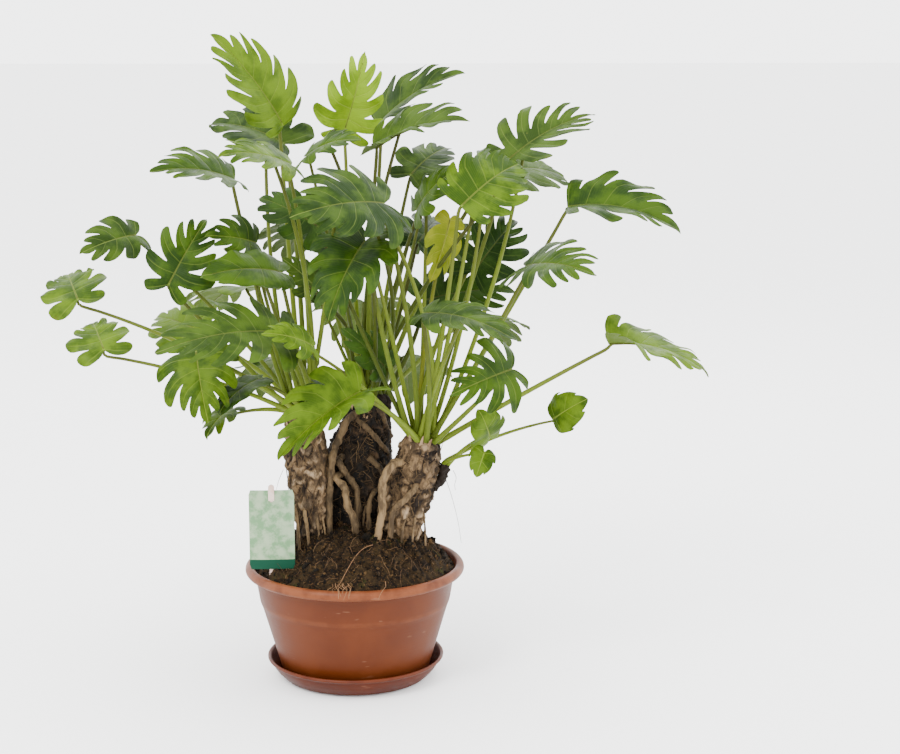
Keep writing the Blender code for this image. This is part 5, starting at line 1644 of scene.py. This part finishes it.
    def rim_roots(self) -> Shell:
        """Lay a clump of root ends that hangs over the front of the rim, and the long root behind it.

        Each root end follows the same profile over the soil and the rim to its own share of the
        way; the long one runs over the soil into the clump.
        """
        dice = np.random.default_rng(29)
        starts = np.append(np.linspace(-30.0, -6.0, 11), 40.0)[:, None] * MM
        many = starts.shape
        bend = np.linspace(0.0, 1.0, self.rim_points)
        across = starts + dice.normal(0.0, 9 * MM, many) * bend
        phase = dice.uniform(4.0, 7.0, many) * bend + dice.uniform(0.0, 6.0, many)
        across = across + 2.6 * MM * np.sin(phase)
        length = dice.uniform(0.45, 0.95, many) * bend
        backs, heights = np.array(self.rim_profile).T * MM
        spine = np.linspace(0.0, 1.0, len(backs))
        back, height = np.interp(length, spine, backs), np.interp(length, spine, heights)
        ends = np.stack([across, back, height + dice.uniform(0.0, 2.5 * MM, many)], axis=-1)
        size = dice.uniform(0.35 * MM, 0.8 * MM, many) * (1.0 - 0.5 * bend)
        across, back = (24 - 46 * bend) * MM, (-78 - 44 * bend + 6 * np.sin(5 * bend)) * MM
        ground = self.height(across[0], back[0]) * (1.0 - bend) + self.height(across[-1], back[-1]) * bend
        long_root = np.stack([across, back, ground + (2.5 + 11 * np.sin(math.pi * bend)) * MM], axis=-1)
        points = np.concatenate([ends, long_root[None]])
        size = np.vstack([size, 0.55 * MM * (1.0 - 0.4 * bend)])
        return strands(points, size * 1.2, size, (0.0, -0.5, 1.0), dice.uniform(0.3, 1.0, len(points)))

    def make(self) -> None:
        """Build and dress the soil."""
        build("heaped_soil", self.body(), SoilFinish().material(), ("soil",), crease=80.0)
        crumb = ShadedFinish("soil_crumb", (0.0021, 0.0014, 0.0007), (0.056, 0.0315, 0.0119), 0.95)
        build("soil_crumbs", self.crumb_shells(), crumb.material(), crease=25.0)
        fibre = ShadedFinish("soil_fibre", (0.0315, 0.0154, 0.007), (0.112, 0.063, 0.0308), 0.8).material()
        build("soil_fibres", self.fibre_shells(), fibre)
        root = ShadedFinish("loose_root", (0.0665, 0.028, 0.0119), (0.175, 0.0945, 0.0462), 0.7).material()
        build("rim_roots", self.rim_roots(), root)


@dataclass(frozen=True)
class Pottery:
    """The bowl pot and its saucer, turned about the upright axis from profiles in mm."""

    sides: int = 192
    corner: float = 2.6
    corner_points: int = 6
    span: float = 5.0
    foot: float = 2.9
    saucer: tuple[tuple[float, float], ...] = (
        (0, 0), (90, 0), (97, 1.5), (104, 6.5), (110, 13), (114.5, 19.5), (117, 25), (120.5, 26.5),
        (121.5, 29), (119.5, 31), (116.5, 29.8), (111.5, 20), (105.5, 11), (102, 4.2), (99.5, 2.6), (0, 2.6),
    )

    def pot_profile(self) -> tuple[tuple[float, float], ...]:
        """Give the pot's profile: foot ring, wall, band, neck, rolled lip and inside."""
        foot = self.foot
        return (
            (0, foot + 3.5), (88, foot + 3.5), (90, foot), (97, foot), (99, foot + 2), (127.3, 102),
            (130.2, 109), (135.5, 140), (137.5, 146), (146.5, 147), (150, 151), (149.5, 156), (145.5, 160.5),
            (140, 160.5), (137.5, 154), (133, 140), (128, 108), (123.8, 103.5), (96.5, foot + 6.5),
            (0, foot + 6.5),
        )

    def rounded(self, profile: tuple[tuple[float, float], ...]) -> np.ndarray:
        """Round a profile's corners and mark the outer ones.

        Each corner is cut back and replaced by a quadratic curve, and long straights are split.

        Args:
            profile: radius and height of each corner.

        Returns:
            Rows of radius, height and edge, where edge is 1 on sharp outer corners.
        """
        corners = np.array(profile, float)
        rows = [np.append(corners[0], 0.0)]
        share = np.linspace(0.0, 1.0, self.corner_points)[:, None]
        for before, corner, after in zip(corners, corners[1:], corners[2:]):
            back, ahead = before - corner, after - corner
            room = min(self.corner, 0.48 * np.linalg.norm(back), 0.48 * np.linalg.norm(ahead))
            start, end = corner + unit(back) * room, corner + unit(ahead) * room
            curve = start * (1 - share) ** 2 + 2 * corner * share * (1 - share) + end * share**2
            turn = float(np.cross(-unit(back), unit(ahead)))
            edge = np.full((self.corner_points, 1), np.clip(turn * 2.2, 0.0, 1.0))
            rows += list(np.hstack([curve, edge]))
        rows.append(np.append(corners[-1], 0.0))
        rows = np.array(rows)
        full = [rows[:1]]
        for first, second in zip(rows, rows[1:]):
            parts = max(1, int(np.linalg.norm(second[:2] - first[:2]) / self.span))
            steps = np.linspace(0.0, 1.0, parts + 1)[1:, None]
            line = first + (second - first) * steps
            line[:-1, 2] = 0.0
            full.append(line)
        return np.vstack(full)

    def turned(self, profile: tuple[tuple[float, float], ...]) -> Shell:
        """Turn a profile into a closed body: x = r cos t, y = r sin t, z = height."""
        rows = self.rounded(profile)[1:-1]
        turns = np.arange(self.sides) * math.tau / self.sides
        radii, heights = rows[:, :1] * MM, rows[:, 1:2] * MM
        rings = np.stack([radii * np.cos(turns), radii * np.sin(turns), heights + 0.0 * turns], axis=-1)
        edge = np.repeat(rows[:, 2:3], self.sides, axis=1)[..., None]
        return ringed_shell(rings, {"edge": edge})

    def make(self) -> None:
        """Build and dress the saucer and the pot."""
        # The saucer's third colour is the painted highlight on its outer edges.
        dark = ClayFinish("terracotta_saucer", (0.0518, 0.0077, 0.0007), (0.0406, 0.0056, 0.0007),
                          (0.080, 0.017, 0.0042))
        build("turned_saucer", self.turned(self.saucer), dark.material(), ("saucer",))
        build("turned_pot", self.turned(self.pot_profile()), ClayFinish().material(), ("pot",))


@dataclass(frozen=True)
class PlantTag:
    """The blank card with a slit near its top, and the stake that comes through it."""

    place: Place = (-110 * MM, 170 * MM, -66 * MM)
    size: tuple[float, float] = (60 * MM, 108 * MM)
    thick: float = 0.8 * MM
    corner: float = 2.0 * MM
    slit: tuple[float, float] = (10.5 * MM, 2.6 * MM)
    slit_drop: float = 15 * MM
    bow: float = 1.2 * MM
    stake: Place = (8 * MM, 1.5 * MM, 145 * MM)
    stake_rise: float = 8 * MM
    sides: int = 160
    rings: int = 14

    def box_loop(self, width: float, height: float, corner: float) -> np.ndarray:
        """Give a rounded rectangle's points, evenly spread in angle: a squared-off circle."""
        turns = (np.arange(self.sides) + 0.5) * math.tau / self.sides
        ways = np.stack([np.cos(turns), np.sin(turns)], axis=-1)
        inner = np.array([width / 2 - corner, height / 2 - corner])
        reach = np.minimum(inner[0] / np.maximum(np.abs(ways[:, 0]), 1e-6),
                           inner[1] / np.maximum(np.abs(ways[:, 1]), 1e-6))
        core = ways * reach[:, None]
        round_way = unit(np.where(np.abs(core) >= inner - 1e-7, np.sign(core), 0.0) + 1e-9 * ways)
        return core + corner * round_way

    def card(self) -> Shell:
        """Build the card: loops from the slit out to the edge, front and back, bowed slightly."""
        middle, foot, back = self.place
        width, height = self.size
        hole = self.box_loop(*self.slit, 1.2 * MM) + np.array([0.0, height / 2 - self.slit_drop])
        edge = self.box_loop(width, height, self.corner)
        share = np.linspace(0.0, 1.0, self.rings)[:, None, None]
        loops = hole * (1.0 - share) + edge * share
        depth = self.bow * (loops[..., 0] / (width / 2)) ** 2 - self.bow * 0.5
        sheets = []
        for side in (-0.5, 0.5):
            sheets.append(np.stack([middle + loops[..., 0], back + depth + side * self.thick,
                                    foot + height / 2 + loops[..., 1]], axis=-1))
        rings = np.concatenate([sheets[0], sheets[1][::-1]])
        index = np.arange(rings.shape[0] * self.sides).reshape(-1, self.sides)
        index = np.vstack([index, index[:1]])
        index = np.hstack([index, index[:, :1]])
        return Shell(rings.reshape(-1, 3), sheet_faces(index)).outward()

    def stake_shell(self) -> Shell:
        """Build the stake: a flat bar that passes through the slit, with a rounded end."""
        middle, foot, back = self.place
        wide, thick, length = self.stake
        top = foot + self.size[1] + self.stake_rise
        through = foot + self.size[1] - self.slit_drop
        heights = np.concatenate([np.linspace(top - length, through - 14 * MM, 12),
                                  np.linspace(through - 12 * MM, top - 4 * MM, 26),
                                  top - 4 * MM * np.array([0.75, 0.5, 0.28, 0.12, 0.03])])
        behind = back + self.thick / 2 + thick / 2 + 0.3 * MM
        front = back - self.thick / 2 - thick / 2 - 0.5 * MM
        share = np.clip((heights - through + 5 * MM) / (10 * MM), 0.0, 1.0)
        depths = behind + (front - behind) * share**2 * (3.0 - 2.0 * share)
        near_top = np.clip((top - heights) / (4 * MM), 0.0, 1.0)
        half = wide / 2 * np.sqrt(np.maximum(0.02, 1.0 - (1.0 - near_top) ** 2))
        turns = np.arange(20) * math.tau / 20
        flat = np.sign(np.cos(turns)) * np.abs(np.cos(turns)) ** 0.35
        deep = np.sign(np.sin(turns)) * np.abs(np.sin(turns)) ** 0.5
        rings = np.stack([middle + half[:, None] * flat, depths[:, None] + thick / 2 * deep,
                          heights[:, None] + 0.0 * turns], axis=-1)
        return ringed_shell(rings)

    def make(self) -> None:
        """Build and dress the tag."""
        build("printed_card", self.card(), CardFinish().material(), ("tag_card",), crease=30.0)
        plastic = PlainFinish("stake_plastic", (0.462, 0.308, 0.252), (0.504, 0.392, 0.336), 0.42, 9 * MM)
        build("stake_bar", self.stake_shell(), plastic.material(), ("tag_stake",))


@dataclass(frozen=True)
class Studio:
    """The pale floor, the soft lights and the camera."""

    floor_half: float = 40.0
    floor_colour: Colour = (0.86, 0.86, 0.86)
    world_colour: Colour = (0.99, 0.995, 1.0)
    world_strength: float = 4.4

    def floor(self) -> None:
        """Lay the floor."""
        half = self.floor_half
        mesh = bpy.data.meshes.new("studio_floor")
        corners = [(-half, -half, 0), (half, -half, 0), (half, half, 0), (-half, half, 0)]
        mesh.from_pydata(corners, [], [(0, 1, 2, 3)])
        paper = PlainFinish("studio_paper", self.floor_colour, self.floor_colour, 0.9, 1.0).material()
        mesh.materials.append(paper)
        floor = bpy.data.objects.new("studio_floor", mesh)
        bpy.context.scene.collection.objects.link(floor)

    def light(self, name: str, place: Place, target: Place, size: float, power: float,
              colour: Colour) -> None:
        """Hang a square soft light that looks at a target."""
        lamp = bpy.data.lights.new(name, "AREA")
        lamp.shape = "SQUARE"
        lamp.size = size
        lamp.energy = power
        lamp.color = colour
        holder = bpy.data.objects.new(name, lamp)
        bpy.context.scene.collection.objects.link(holder)
        way = np.array(target) - np.array(place)
        flat = math.hypot(way[0], way[1])
        holder.location = place
        holder.rotation_euler = (math.atan2(flat, -way[2]), 0.0, math.atan2(way[1], way[0]) - math.pi / 2)

    def camera(self) -> None:
        """Set the camera at the photograph's viewing angle."""
        lens = bpy.data.cameras.new("camera")
        lens.lens = VIEW.lens
        lens.sensor_width = VIEW.sensor
        camera = bpy.data.objects.new("camera", lens)
        bpy.context.scene.collection.objects.link(camera)
        camera.location = (0.0, -VIEW.distance, VIEW.height)
        camera.rotation_euler = (math.radians(90 - VIEW.tilt), 0.0, math.radians(VIEW.turn))
        bpy.context.scene.camera = camera

    def make(self) -> None:
        """Set up the studio."""
        world = bpy.data.worlds.new("studio")
        world.use_nodes = True
        background = world.node_tree.nodes["Background"]
        background.inputs["Color"].default_value = (*self.world_colour, 1.0)
        background.inputs["Strength"].default_value = self.world_strength
        bpy.context.scene.world = world
        self.floor()
        middle = (0.0, 0.0, 0.45)
        self.light("key", (-1.3, -1.9, 2.7), middle, 1.0, 108.0, (1.0, 0.985, 0.96))
        self.light("fill", (2.7, -0.7, 1.3), middle, 1.8, 32.0, (0.985, 0.99, 1.0))
        self.light("rim", (0.6, 2.2, 2.4), middle, 1.6, 40.0, (1.0, 1.0, 1.0))
        self.camera()


def main() -> None:
    """Dress the plant over its CAD frame."""
    logging.basicConfig(level=logging.INFO, format="%(message)s")
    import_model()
    Pottery().make()
    SoilHeap().make()
    Trunks().make()
    PlantTag().make()
    Foliage().make()
    Studio().make()


if __name__ == "__main__":
    main()
